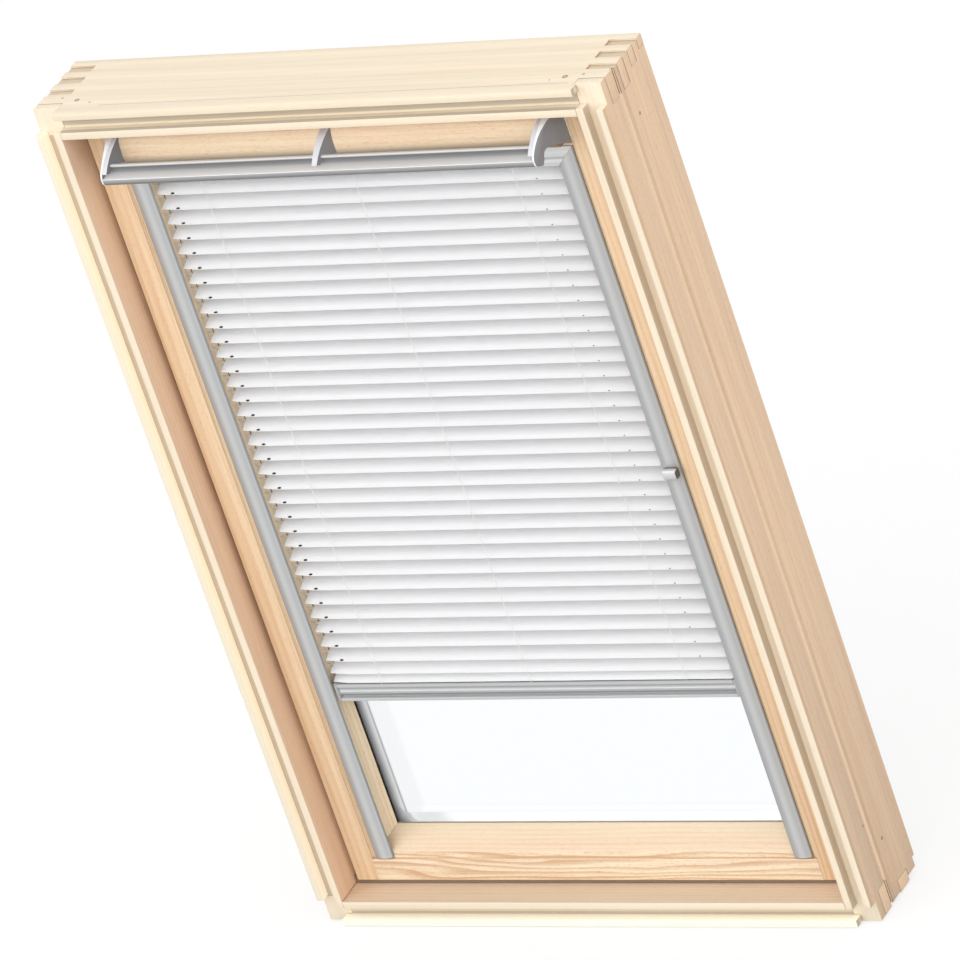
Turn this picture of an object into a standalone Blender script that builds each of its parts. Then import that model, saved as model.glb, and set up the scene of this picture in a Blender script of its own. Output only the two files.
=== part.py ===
"""Centre-pivot roof window in pine, with its vent bar and a venetian blind.

Metres. X runs across the window, +Z up its slope, +Y outdoors, and the room is at -Y.
The origin is in the middle of the sill's flat bottom face, in the plane of the corner blocks.
"""
import math

import bmesh
import bpy
from mathutils import Matrix, Vector

# Clearances
JOINT_GAP = 0.0003
GLASS_EDGE_CLEAR = 0.0005

# Outer frame: four members with two proud strips on the room side, finger-jointed at the corners
FRAME_WIDTH = 0.780
FRAME_HEIGHT = 1.178
FRAME_DEPTH = 0.113
MEMBER_WIDTH = 0.0355
STRIP_PROUD = 0.0135
OUTER_STRIP_WIDTH = 0.0090
INNER_STRIP_WIDTH = 0.0097
OUTER_STRIP_END = 0.0285
INNER_STRIP_END = 0.0258
HEAD_STRIP_END = 0.0330
SILL_STRIP_END = 0.0270
SIDE_GROOVE_START = 0.0310
SIDE_GROOVE_WIDTH = 0.0050
SIDE_GROOVE_DEPTH = 0.0030
CORNER_BLOCK_DEPTH = 0.0130
FINGER_RELIEF = 0.0020
FINGER_ROOT = 0.0100
STILE_FOOT_RELIEF = 0.0060
STILE_HEEL_HEIGHT = 0.0190
STILE_HEEL_DEPTH = 0.0055

# Each finger of the head and the sill: where it starts and ends in depth, and how thick it is
HEAD_FINGERS = (
    (CORNER_BLOCK_DEPTH, 0.0340, MEMBER_WIDTH),
    (0.0450, 0.0600, MEMBER_WIDTH),
    (0.0740, 0.0870, 0.0225),
    (0.1000, FRAME_DEPTH, 0.0140),
)
SILL_FINGERS = (
    (CORNER_BLOCK_DEPTH, 0.0340, MEMBER_WIDTH),
    (0.0600, 0.0860, 0.0160),
)

# Sash: front face, then a step, then a bevel down to the glass
SASH_GAP = 0.0092
SASH_FRONT = 0.0220
SASH_FACE = 0.0305
SASH_STEP_DEPTH = 0.0045
SASH_STEP_WIDTH = 0.0090
SASH_BEVEL_WIDTH = 0.0245
SASH_BEVEL_DEPTH = 0.0260
SASH_BEAD = 0.0012
TOP_RAIL_FACE = 0.0485
GLASS_BITE = 0.0125
REAR_LIP = 0.0080
PANE_THICKNESS = 0.0040
PANE_SPACE = 0.0160
SPACER_WIDTH = 0.0100

# Pivots at half height
PIVOT_DEPTH = 0.0500
PIVOT_PIN_RADIUS = 0.0060
PIVOT_PIN_BITE = 0.0140
PIVOT_COLLAR_RADIUS = 0.0150
PIVOT_COLLAR_CLEAR = 0.0012

# Vent flap over the top gap, its three brackets and the control bar
VENT_AXIS_DEPTH = 0.0190
VENT_AXIS_BELOW_HEAD = 0.0545
FLAP_HEIGHT = 0.0485
FLAP_THICKNESS = 0.0188
FLAP_NOSE_HEIGHT = 0.0200
FLAP_FLAT = 0.0053
FLAP_BACK_GAP = 0.0007
BAR_SIDE_GAP = 0.0565
BAR_REACH = 0.0630
BAR_RISE = 0.0150
BAR_DEPTH = 0.0200
BAR_DROP = 0.0145
BAR_SLOPE = 0.0035
BAR_LIP = 0.0030
BAR_LIP_RISE = 0.0071
BAR_WALL = 0.0020
BRACKET_ROOT = 0.0140
BRACKET_TIP = 0.0065
BRACKET_CAP = 0.0020
BRACKET_END_WIDTH = 0.0083
BRACKET_FLARE = 0.0150
BRACKET_FLARE_POWER = 2.2
BRACKET_CROWN = 0.0060
BRACKET_SHOULDER = 0.0470
BRACKET_ARMPIT = 0.0075
BRACKET_ROOT_DEPTH = 0.0080
BRACKET_FOOT_RISE = 0.0140
BRACKET_FOOT_DEPTH = 0.0250

# Blind: side channels and head rail
CHANNEL_SIDE_GAP = 0.0061
CHANNEL_WIDTH = 0.0254
CHANNEL_PROUD = 0.0008
CHANNEL_EDGE = 0.0026
CHANNEL_WALL = 0.0013
CHANNEL_FOOT_GAP = 0.0016
HEAD_RAIL_TOP_GAP = 0.0023
HEAD_RAIL_HEIGHT = 0.0261
HEAD_RAIL_DEPTH = 0.0250
HEAD_RAIL_WALL = 0.0016
HEAD_RAIL_FACE = 0.0040
HEAD_RAIL_LIP = 0.0016
HEAD_RAIL_LIP_HEIGHT = 0.0040
HEAD_RAIL_LIP_RISE = 0.0113
TILT_ROD_RADIUS = 0.0030
TILT_ROD_END = 0.0040
TILT_DRUM_RADIUS = 0.0065
TILT_DRUM_HALF = 0.0090

# Blind: slats, ladders and bottom rail
SLAT_COUNT = 33
SLAT_PITCH = 0.02095
FIRST_SLAT_DROP = 0.0192
SLAT_FRONT = 0.0268
SLAT_DEPTH = 0.0244
SLAT_THICKNESS = 0.0008
SLAT_RISE = 0.0068
SLAT_CROWN = 0.0008
SLAT_SIDE_GAP = 0.0008
SLAT_EAR = 0.0080
SLAT_EAR_HEIGHT = 0.0030
SLAT_CORNER_WIDTH = 0.0265
SLAT_CORNER_DEPTH = 0.0032
SLAT_TAIL = 0.0035
SLAT_TAIL_DEPTH = 0.0040
LADDER_INSET = 0.0655
LADDER_THICKNESS = 0.0010
LADDER_CLEAR = 0.0007
RUNG_THICKNESS = 0.0008
RUNG_CLEAR = 0.0004
BOTTOM_RAIL_DROP = 0.0332
BOTTOM_RAIL_SIDE_GAP = 0.0006
BOTTOM_RAIL_HEIGHT = 0.0255
BOTTOM_RAIL_DEPTH = 0.0213
BOTTOM_RAIL_WALL = 0.0016
BOTTOM_RAIL_LIP = 0.0040
BOTTOM_RAIL_RECESS = 0.0060
BOTTOM_RAIL_RECESS_DEPTH = 0.0020

# Blind: tilt slider on the right channel
SLIDER_ABOVE_PIVOT = 0.0460
SLIDER_WIDTH = 0.0190
SLIDER_HEIGHT = 0.0130
SLIDER_PROUD = 0.0110
SLIDER_OFFSET = 0.0025
SLIDER_ROUNDING = 0.0020

# How far a cutter reaches past what it cuts
REACH = 0.05

# Sizes that follow from the ones above
HALF_WIDTH = FRAME_WIDTH / 2
FRAME_INNER = HALF_WIDTH - MEMBER_WIDTH
SASH_HALF = FRAME_INNER - SASH_GAP
SASH_BOTTOM = MEMBER_WIDTH + SASH_GAP
SASH_TOP = FRAME_HEIGHT - MEMBER_WIDTH - SASH_GAP
SASH_MEMBER = SASH_FACE + SASH_STEP_WIDTH + SASH_BEVEL_WIDTH
SASH_STEP_Y = SASH_FRONT + SASH_STEP_DEPTH
GLASS_FRONT = SASH_STEP_Y + SASH_BEVEL_DEPTH + SASH_BEAD + JOINT_GAP
GLASS_BACK = GLASS_FRONT + 2 * PANE_THICKNESS + PANE_SPACE
SASH_BACK = GLASS_BACK + JOINT_GAP + REAR_LIP
PIVOT_HEIGHT = FRAME_HEIGHT / 2
VENT_AXIS_HEIGHT = FRAME_HEIGHT - MEMBER_WIDTH - VENT_AXIS_BELOW_HEAD
BAR_HALF = FRAME_INNER - BAR_SIDE_GAP
BAR_NOSE = (VENT_AXIS_DEPTH - BAR_REACH, VENT_AXIS_HEIGHT + BAR_RISE)
CHANNEL_OUTER = SASH_HALF - SASH_FACE - CHANNEL_SIDE_GAP
CHANNEL_INNER = CHANNEL_OUTER - CHANNEL_WIDTH
CHANNEL_FRONT = SASH_FRONT - CHANNEL_PROUD
HEAD_RAIL_TOP = SASH_TOP - TOP_RAIL_FACE - HEAD_RAIL_TOP_GAP
HEAD_RAIL_BOTTOM = HEAD_RAIL_TOP - HEAD_RAIL_HEIGHT
HEAD_RAIL_BACK = SASH_FRONT + HEAD_RAIL_DEPTH
FIRST_SLAT = HEAD_RAIL_BOTTOM - FIRST_SLAT_DROP
LAST_SLAT = FIRST_SLAT - (SLAT_COUNT - 1) * SLAT_PITCH
SLAT_BACK = SLAT_FRONT + SLAT_DEPTH
SLAT_HALF = CHANNEL_INNER - SLAT_SIDE_GAP
LADDER_PLACES = {"left": LADDER_INSET - SLAT_HALF, "middle": 0.0, "right": SLAT_HALF - LADDER_INSET}
BOTTOM_RAIL_TOP = LAST_SLAT - BOTTOM_RAIL_DROP
BOTTOM_RAIL_BOTTOM = BOTTOM_RAIL_TOP - BOTTOM_RAIL_HEIGHT


def clear_scene():
    for thing in list(bpy.data.objects):
        bpy.data.objects.remove(thing, do_unlink=True)


def make_collection(name):
    group = bpy.data.collections.new(name)
    bpy.context.scene.collection.children.link(group)
    return group


def make_material(name, colour, roughness, metallic=0.0, transmission=0.0):
    finish = bpy.data.materials.new(name)
    finish.use_nodes = True
    shader = finish.node_tree.nodes["Principled BSDF"]
    shader.inputs["Base Color"].default_value = (*colour, 1.0)
    shader.inputs["Roughness"].default_value = roughness
    shader.inputs["Metallic"].default_value = metallic
    shader.inputs["Transmission Weight"].default_value = transmission
    return finish


def world_place(thing):
    place = Vector((0.0, 0.0, 0.0))
    while thing:
        place += thing.location
        thing = thing.parent
    return place


def add_empty(name, place, group, parent=None):
    """An empty on a joint's axis, which carries the pieces that move with it."""
    empty = bpy.data.objects.new(name, None)
    group.objects.link(empty)
    empty.parent = parent
    empty.location = Vector(place) - world_place(parent)
    return empty


def add_object(name, solid, finish, group, parent=None):
    """Make an object from a bmesh drawn in world places, with its origin on its parent's."""
    bmesh.ops.recalc_face_normals(solid, faces=solid.faces)
    bmesh.ops.translate(solid, verts=solid.verts, vec=-world_place(parent))
    mesh = bpy.data.meshes.new(name)
    solid.to_mesh(mesh)
    solid.free()
    if finish:
        mesh.materials.append(finish)
    thing = bpy.data.objects.new(name, mesh)
    group.objects.link(thing)
    thing.parent = parent
    return thing


def combine(target, solid, cutters, operation="DIFFERENCE"):
    """Cut a solid out of the target, or join it on, and keep it as a hidden wire."""
    name = f"{target.name}_cutter_{len(target.modifiers) + 1}"
    cutter = add_object(name, solid, None, cutters)
    cutter.hide_render = True
    cutter.display_type = "WIRE"
    change = target.modifiers.new(name, "BOOLEAN")
    change.operation = operation
    change.solver = "EXACT"
    change.object = cutter


def prism(outline, axis, start, end, solid=None):
    """Extrude a flat outline along an axis; its points give the other two coordinates in order."""
    solid = solid or bmesh.new()
    index = "XYZ".index(axis)
    corners = []
    for pair in outline:
        place = list(pair)
        place.insert(index, start)
        corners.append(solid.verts.new(place))
    face = solid.faces.new(corners)
    travel = Vector((0.0, 0.0, 0.0))
    travel[index] = end - start
    extruded = bmesh.ops.extrude_face_region(solid, geom=[face])["geom"]
    moved = [item for item in extruded if isinstance(item, bmesh.types.BMVert)]
    bmesh.ops.translate(solid, verts=moved, vec=travel)
    return solid


def add_box(solid, low, high):
    corners = bmesh.ops.create_cube(solid, size=1.0)["verts"]
    low, high = Vector(low), Vector(high)
    bmesh.ops.scale(solid, verts=corners, vec=high - low)
    bmesh.ops.translate(solid, verts=corners, vec=(low + high) / 2)


def box(low, high):
    solid = bmesh.new()
    add_box(solid, low, high)
    return solid


def cylinder(radius, centre, length, segments=24):
    """A cylinder along X around its centre."""
    solid = bmesh.new()
    bmesh.ops.create_cone(solid, cap_ends=True, segments=segments, radius1=radius, radius2=radius,
                          depth=length, matrix=Matrix.Rotation(math.radians(90), 4, "Y"))
    bmesh.ops.translate(solid, verts=solid.verts, vec=centre)
    return solid


def offset(outline, distance):
    """Move every edge of a flat outline outwards, or inwards when the distance is negative."""
    count = len(outline)
    area = sum(outline[i - 1][0] * outline[i][1] - outline[i][0] * outline[i - 1][1] for i in range(count))
    turn = distance if area > 0 else -distance
    moved = []
    for i in range(count):
        before, here, after = (Vector(outline[(i + step) % count]) for step in (-1, 0, 1))
        first = (here - before).normalized()
        second = (after - here).normalized()
        first_normal = Vector((first.y, -first.x))
        second_normal = Vector((second.y, -second.x))
        mitre = (first_normal + second_normal) / (1 + first_normal.dot(second_normal))
        moved.append(tuple(here + mitre * turn))
    return moved


def curve_points(start, control, end, steps):
    """Points on a smooth curve from start to end that bends towards its control point."""
    start, control, end = Vector(start), Vector(control), Vector(end)
    points = []
    for step in range(steps + 1):
        part = step / steps
        point = start * (1 - part) ** 2 + control * 2 * part * (1 - part) + end * part ** 2
        points.append(tuple(point))
    return points


def frame_outline(outer, inward):
    """Section of a frame member: its place across the member, and its depth.

    The member starts at its outer face and grows inward, which is +1 or -1 on its axis.
    """
    inner_strip = MEMBER_WIDTH - INNER_STRIP_WIDTH
    profile = [
        (0.0, -STRIP_PROUD),
        (OUTER_STRIP_WIDTH, -STRIP_PROUD),
        (OUTER_STRIP_WIDTH, 0.0),
        (inner_strip, 0.0),
        (inner_strip, -STRIP_PROUD),
        (MEMBER_WIDTH, -STRIP_PROUD),
        (MEMBER_WIDTH, FRAME_DEPTH),
        (0.0, FRAME_DEPTH),
    ]
    return [(outer + inward * across, depth) for across, depth in profile]


def cut_side_groove(member, side, cutters):
    """The long groove in the frame's outer side faces, which also runs over the finger ends."""
    inner = side * (HALF_WIDTH - SIDE_GROOVE_DEPTH)
    outer = side * (HALF_WIDTH + REACH)
    groove = box((min(inner, outer), SIDE_GROOVE_START, -REACH),
                 (max(inner, outer), SIDE_GROOVE_START + SIDE_GROOVE_WIDTH, FRAME_HEIGHT + REACH))
    combine(member, groove, cutters)


def make_frame_side(name, side, pine, parts, cutters):
    member = add_object(name, prism(frame_outline(side * HALF_WIDTH, -side), "Z", 0.0, FRAME_HEIGHT),
                        pine, parts)
    low_x, high_x = sorted((side * (HALF_WIDTH + REACH), side * (FRAME_INNER - REACH)))
    strip_split = side * (HALF_WIDTH - (OUTER_STRIP_WIDTH + MEMBER_WIDTH - INNER_STRIP_WIDTH) / 2)
    outer_x = sorted((side * (HALF_WIDTH + REACH), strip_split))
    inner_x = sorted((strip_split, side * (FRAME_INNER - REACH)))
    waste = bmesh.new()
    for strip_x, end in ((outer_x, OUTER_STRIP_END), (inner_x, INNER_STRIP_END)):
        for low, high in ((-REACH, end), (FRAME_HEIGHT - end, FRAME_HEIGHT + REACH)):
            add_box(waste, (strip_x[0], -REACH, low), (strip_x[1], 0.0, high))
    combine(member, waste, cutters)
    notches = bmesh.new()
    for start, end, thickness in HEAD_FINGERS:
        add_box(notches, (low_x, start - JOINT_GAP, FRAME_HEIGHT - thickness - JOINT_GAP),
                (high_x, end + (JOINT_GAP if end < FRAME_DEPTH else REACH), FRAME_HEIGHT + REACH))
    for start, end, thickness in SILL_FINGERS:
        add_box(notches, (low_x, start - JOINT_GAP, -REACH), (high_x, end + JOINT_GAP, thickness + JOINT_GAP))
    combine(member, notches, cutters)
    relief = bmesh.new()
    add_box(relief, (low_x, CORNER_BLOCK_DEPTH + JOINT_GAP, FRAME_HEIGHT - FINGER_RELIEF),
            (high_x, FRAME_DEPTH + REACH, FRAME_HEIGHT + REACH))
    add_box(relief, (low_x, CORNER_BLOCK_DEPTH + JOINT_GAP, -REACH),
            (high_x, SILL_FINGERS[1][0] + JOINT_GAP, FINGER_RELIEF))
    add_box(relief, (low_x, SILL_FINGERS[1][1] - JOINT_GAP, -REACH - JOINT_GAP),
            (high_x, FRAME_DEPTH + REACH, STILE_FOOT_RELIEF))
    combine(member, relief, cutters)
    heel = box((low_x, FRAME_DEPTH - STILE_HEEL_DEPTH, -REACH), (high_x, FRAME_DEPTH + REACH, STILE_HEEL_HEIGHT))
    combine(member, heel, cutters)
    cut_side_groove(member, side, cutters)
    hole_length = 2 * (PIVOT_PIN_BITE + JOINT_GAP)
    hole = cylinder(PIVOT_PIN_RADIUS + JOINT_GAP, (side * FRAME_INNER, PIVOT_DEPTH, PIVOT_HEIGHT), hole_length)
    combine(member, hole, cutters)
    return member


def make_frame_rail(name, outer, inward, fingers, strip_end, pine, parts, cutters):
    """The head or the sill: its body between the sides, with its fingers and strip tips joined on."""
    body_end = FRAME_INNER - JOINT_GAP
    section = [(depth, height) for height, depth in frame_outline(outer, inward)]
    member = add_object(name, prism(section, "X", -body_end, body_end), pine, parts)
    tips = bmesh.new()
    strip_z = sorted((outer, outer + inward * OUTER_STRIP_WIDTH))
    for side in (-1, 1):
        root = side * (body_end - FINGER_ROOT)
        strip_x = sorted((root, side * (HALF_WIDTH - strip_end)))
        add_box(tips, (strip_x[0], -STRIP_PROUD, strip_z[0]), (strip_x[1], -JOINT_GAP, strip_z[1]))
        finger_x = sorted((root, side * HALF_WIDTH))
        for start, end, thickness in fingers:
            finger_z = sorted((outer, outer + inward * thickness))
            add_box(tips, (finger_x[0], start, finger_z[0]), (finger_x[1], end, finger_z[1]))
    combine(member, tips, cutters, "UNION")
    for side in (-1, 1):
        cut_side_groove(member, side, cutters)
    return member


def make_frame(pine, parts, cutters):
    make_frame_side("frame_side_left", -1, pine, parts, cutters)
    make_frame_side("frame_side_right", 1, pine, parts, cutters)
    make_frame_rail("frame_sill", 0.0, 1, SILL_FINGERS, SILL_STRIP_END, pine, parts, cutters)
    make_frame_rail("frame_head", FRAME_HEIGHT, -1, HEAD_FINGERS, HEAD_STRIP_END, pine, parts, cutters)


def sash_outline(outer, inward, groove=True, face=None, clearance=0.0):
    """Section of a sash member: its place across the member, and its depth.

    A face width gives a plain square member; without one the step and bevel follow the front face.
    """
    if face:
        member = face
        profile = [(-clearance, SASH_FRONT - clearance), (member + clearance, SASH_FRONT - clearance)]
    else:
        member = SASH_MEMBER
        step_end = SASH_FACE + SASH_STEP_WIDTH
        profile = [
            (-clearance, SASH_FRONT - clearance),
            (SASH_FACE + clearance, SASH_FRONT - clearance),
            (SASH_FACE + clearance, SASH_STEP_Y - clearance),
            (step_end + clearance, SASH_STEP_Y - clearance),
            (member + clearance, SASH_STEP_Y + SASH_BEVEL_DEPTH - clearance),
        ]
    if groove:
        profile += [
            (member, GLASS_FRONT - JOINT_GAP),
            (member - GLASS_BITE, GLASS_FRONT - JOINT_GAP),
            (member - GLASS_BITE, GLASS_BACK + JOINT_GAP),
            (member, GLASS_BACK + JOINT_GAP),
        ]
    profile += [(member + clearance, SASH_BACK + clearance), (-clearance, SASH_BACK + clearance)]
    return [(outer + inward * across, depth) for across, depth in profile]


def make_sash(pine, parts, cutters, sash_axis):
    pin_hole = PIVOT_PIN_RADIUS + JOINT_GAP
    for side, name in ((-1, "sash_side_left"), (1, "sash_side_right")):
        outline = sash_outline(side * SASH_HALF, -side)
        stile = add_object(name, prism(outline, "Z", SASH_BOTTOM, SASH_TOP), pine, parts, sash_axis)
        hole_length = 2 * (PIVOT_PIN_BITE + JOINT_GAP)
        hole = cylinder(pin_hole, (side * SASH_HALF, PIVOT_DEPTH, PIVOT_HEIGHT), hole_length)
        combine(stile, hole, cutters)
    bottom = [(y, z) for z, y in sash_outline(SASH_BOTTOM, 1)]
    top = [(y, z) for z, y in sash_outline(SASH_TOP, -1, face=TOP_RAIL_FACE)]
    for name, outline in (("sash_bottom_rail", bottom), ("sash_top_rail", top)):
        rail = add_object(name, prism(outline, "X", -SASH_HALF, SASH_HALF), pine, parts, sash_axis)
        for side in (-1, 1):
            seat = sash_outline(side * (SASH_HALF + REACH), -side, groove=False, clearance=JOINT_GAP)
            seat = [(x - side * REACH if abs(x) < SASH_HALF + REACH else x, y) for x, y in seat]
            combine(rail, prism(seat, "Z", -REACH, FRAME_HEIGHT + REACH), cutters)


def glass_edges():
    """Left, right, bottom and top edges of the glass unit in the sash's groove."""
    side = SASH_HALF - SASH_MEMBER + GLASS_BITE - GLASS_EDGE_CLEAR
    bottom = SASH_BOTTOM + SASH_MEMBER - GLASS_BITE + GLASS_EDGE_CLEAR
    top = SASH_TOP - TOP_RAIL_FACE + GLASS_BITE - GLASS_EDGE_CLEAR
    return -side, side, bottom, top


def make_glass(glass, spacer_finish, parts, cutters, sash_axis):
    left, right, bottom, top = glass_edges()
    outer_pane = GLASS_BACK - PANE_THICKNESS
    for name, start in (("glass_inner_pane", GLASS_FRONT), ("glass_outer_pane", outer_pane)):
        pane = box((left, start, bottom), (right, start + PANE_THICKNESS, top))
        add_object(name, pane, glass, parts, sash_axis)
    front = GLASS_FRONT + PANE_THICKNESS + JOINT_GAP
    back = outer_pane - JOINT_GAP
    ring = add_object("glass_spacer", box((left, front, bottom), (right, back, top)), spacer_finish, parts, sash_axis)
    opening = box((left + SPACER_WIDTH, front - REACH, bottom + SPACER_WIDTH),
                  (right - SPACER_WIDTH, back + REACH, top - SPACER_WIDTH))
    combine(ring, opening, cutters)


def turned(name, profile, steps, finish, parts, parent, place):
    """A piece turned around X: the profile gives radius and place along X, from right to left."""
    mesh = bpy.data.meshes.new(name)
    points = [(radius, 0.0, along) for radius, along in profile]
    mesh.from_pydata(points, [(i, i + 1) for i in range(len(points) - 1)], [])
    mesh.materials.append(finish)
    thing = bpy.data.objects.new(name, mesh)
    parts.objects.link(thing)
    thing.parent = parent
    thing.location = Vector(place) - world_place(parent)
    thing.rotation_euler = (0.0, math.radians(90), 0.0)
    screw = thing.modifiers.new("turned", "SCREW")
    screw.steps = steps
    screw.render_steps = steps
    screw.use_merge_vertices = True
    screw.merge_threshold = 0.00001
    screw.use_smooth_shade = True
    return thing


def make_pivots(steel, parts, sash_axis):
    """A pin with a collar on each side, between the sash and the frame."""
    half = SASH_GAP / 2
    collar = half - PIVOT_COLLAR_CLEAR
    profile = [
        (0.0, half + PIVOT_PIN_BITE),
        (PIVOT_PIN_RADIUS, half + PIVOT_PIN_BITE),
        (PIVOT_PIN_RADIUS, collar),
        (PIVOT_COLLAR_RADIUS, collar),
        (PIVOT_COLLAR_RADIUS, -collar),
        (PIVOT_PIN_RADIUS, -collar),
        (PIVOT_PIN_RADIUS, -half - PIVOT_PIN_BITE),
        (0.0, -half - PIVOT_PIN_BITE),
    ]
    for side, name in ((-1, "pivot_left"), (1, "pivot_right")):
        place = (side * (SASH_HALF + half), PIVOT_DEPTH, PIVOT_HEIGHT)
        turned(name, profile, 24, steel, parts, sash_axis, place)


def flap_outline():
    """The flap's section as depth and height: a flat back and a round front."""
    back = SASH_FRONT - FLAP_BACK_GAP
    front = back - FLAP_THICKNESS
    bottom = VENT_AXIS_HEIGHT
    top = bottom + FLAP_HEIGHT
    nose = (front, bottom + FLAP_NOSE_HEIGHT)
    lower = curve_points((back - FLAP_FLAT, bottom), (front, bottom), nose, 4)
    upper = curve_points(nose, (front, top), (back - FLAP_FLAT, top), 5)
    return [(back, bottom)] + lower + upper[1:] + [(back, top)]


def bar_outline():
    """The control bar's section: a nose to the room, a flat top and a lip at its rear."""
    y, z = BAR_NOSE
    lip = y + BAR_DEPTH - BAR_LIP
    return [
        (y, z),
        (y + BAR_DEPTH * 0.04, z - BAR_DROP * 0.45),
        (y + BAR_DEPTH * 0.17, z - BAR_DROP * 0.64),
        (y + BAR_DEPTH * 0.75, z - BAR_DROP),
        (y + BAR_DEPTH, z - BAR_DROP * 0.62),
        (y + BAR_DEPTH, z + BAR_LIP_RISE),
        (lip, z + BAR_LIP_RISE),
        (lip, z + BAR_SLOPE),
    ]


def bracket_outline(capped):
    """A bracket's section: an arched arm from the flap to the bar.

    A capped one also covers the end of the bar and the end of the flap.
    """
    y, z = BAR_NOSE
    flap_back = SASH_FRONT - FLAP_BACK_GAP
    root = flap_back - FLAP_THICKNESS + BRACKET_ROOT_DEPTH
    crown = (y + BAR_DEPTH / 8, z + BRACKET_CROWN)
    bar_back = y + BAR_DEPTH + JOINT_GAP
    underside = z - BAR_DROP * 0.62
    middle = (y + BAR_DEPTH + root) / 2
    shoulder = (root, VENT_AXIS_HEIGHT + BRACKET_SHOULDER)
    top = curve_points(shoulder, (y + BAR_DEPTH, z + 4 * BRACKET_CROWN), crown, 5)
    if capped:
        foot = (flap_back - BRACKET_FOOT_DEPTH, VENT_AXIS_HEIGHT + BRACKET_FOOT_RISE)
        arch = curve_points((bar_back, underside), (bar_back + JOINT_GAP, z + BAR_SLOPE), foot, 6)
        hook = bar_outline()[:4]
        arch += [(flap_back, VENT_AXIS_HEIGHT), (flap_back, VENT_AXIS_HEIGHT + BRACKET_SHOULDER)]
    else:
        armpit = (root, VENT_AXIS_HEIGHT + BRACKET_ARMPIT)
        arch = curve_points((bar_back, underside), (middle, z + BAR_SLOPE), armpit, 6)
        lip = y + BAR_DEPTH - BAR_LIP - JOINT_GAP
        hook = [
            (crown[0], z + BAR_SLOPE / 6 + JOINT_GAP),
            (lip, z + BAR_SLOPE + JOINT_GAP),
            (lip, z + BAR_LIP_RISE + JOINT_GAP),
            (bar_back, z + BAR_LIP_RISE + JOINT_GAP),
        ]
    return top + hook + arch


def along_arm(depth):
    """How far a depth is along the brackets' arms, from the bar's nose to the sash."""
    return (depth - BAR_NOSE[0]) / (SASH_FRONT - BAR_NOSE[0])


def bracket_width(depth):
    """The middle bracket is widest at the flap and tapers towards the bar."""
    return BRACKET_TIP + (BRACKET_ROOT - BRACKET_TIP) * along_arm(depth)


def vent_end(depth):
    """Outer face of the end brackets, which flares from the bar towards the sash."""
    return BAR_HALF + BRACKET_FLARE * max(0.0, along_arm(depth)) ** BRACKET_FLARE_POWER


def place_ends(solid, half_at):
    """Move a prism's two ends to a half length that depends on the depth."""
    for corner in solid.verts:
        corner.co.x = math.copysign(half_at(corner.co.y), corner.co.x)
    return solid


def make_vent(pine, plastic, aluminium, parts, cutters, vent_axis):
    flap_half = vent_end(SASH_FRONT - FLAP_BACK_GAP - FLAP_THICKNESS) - BRACKET_CAP - JOINT_GAP
    add_object("vent_flap", prism(flap_outline(), "X", -flap_half, flap_half), pine, parts, vent_axis)
    bar = prism(bar_outline(), "X", -BAR_HALF, BAR_HALF)
    place_ends(bar, lambda depth: vent_end(depth) - BRACKET_CAP - JOINT_GAP)
    bar = add_object("control_bar", bar, aluminium, parts, vent_axis)
    hollow = offset(bar_outline()[:5] + [bar_outline()[-1]], -BAR_WALL)
    combine(bar, prism(hollow, "X", -BAR_HALF, BAR_HALF), cutters)
    flap_seat = offset(flap_outline(), JOINT_GAP)
    bar_seat = offset(bar_outline(), JOINT_GAP)
    for name, centre in (("vent_bracket_left", -1), ("vent_bracket_middle", 0), ("vent_bracket_right", 1)):
        arm = prism(bracket_outline(bool(centre)), "X", -1.0, 1.0)
        for corner in arm.verts:
            if centre:
                outward = corner.co.x * centre > 0
                corner.co.x = centre * (vent_end(corner.co.y) if outward else BAR_HALF - BRACKET_END_WIDTH)
            else:
                corner.co.x *= bracket_width(corner.co.y) / 2
        bracket = add_object(name, arm, plastic, parts, vent_axis)
        seat_half = flap_half + JOINT_GAP
        combine(bracket, prism(flap_seat, "X", -seat_half, seat_half), cutters)
        if centre:
            seat = prism(bar_seat, "X", -BAR_HALF, BAR_HALF)
            combine(bracket, place_ends(seat, lambda depth: vent_end(depth) - BRACKET_CAP), cutters)


def channel_outline(side):
    """A side channel's section as place across and depth: a shallow arch with a foot on the sash's step."""
    front = CHANNEL_FRONT
    seat = SASH_STEP_Y - JOINT_GAP
    edge = front + CHANNEL_EDGE
    middle = (CHANNEL_INNER + CHANNEL_OUTER) / 2
    step_edge = SASH_HALF - SASH_FACE - SASH_STEP_WIDTH - 2 * JOINT_GAP
    inner = CHANNEL_INNER + CHANNEL_WALL
    arch = curve_points((CHANNEL_OUTER, edge), (middle, front - CHANNEL_EDGE), (CHANNEL_INNER, edge), 6)
    under = curve_points((inner, edge + CHANNEL_WALL), (middle, front - CHANNEL_EDGE + 2 * CHANNEL_WALL),
                         (step_edge, edge + CHANNEL_WALL), 6)
    profile = [(CHANNEL_OUTER, seat)] + arch + [(CHANNEL_INNER, seat), (inner, seat)] + under + [(step_edge, seat)]
    return [(side * across, depth) for across, depth in profile]


def make_channels(aluminium, parts, sash_axis):
    foot = SASH_BOTTOM + SASH_FACE + CHANNEL_FOOT_GAP
    for side, name in ((-1, "side_channel_left"), (1, "side_channel_right")):
        channel = prism(channel_outline(side), "Z", foot, HEAD_RAIL_BOTTOM - JOINT_GAP)
        add_object(name, channel, aluminium, parts, sash_axis)


def sash_opening(depth):
    """Half the width that the sash's bevelled sides leave at a depth."""
    bevelled = (depth - SASH_STEP_Y) * SASH_BEVEL_WIDTH / SASH_BEVEL_DEPTH
    return SASH_HALF - SASH_FACE - SASH_STEP_WIDTH - bevelled


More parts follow.
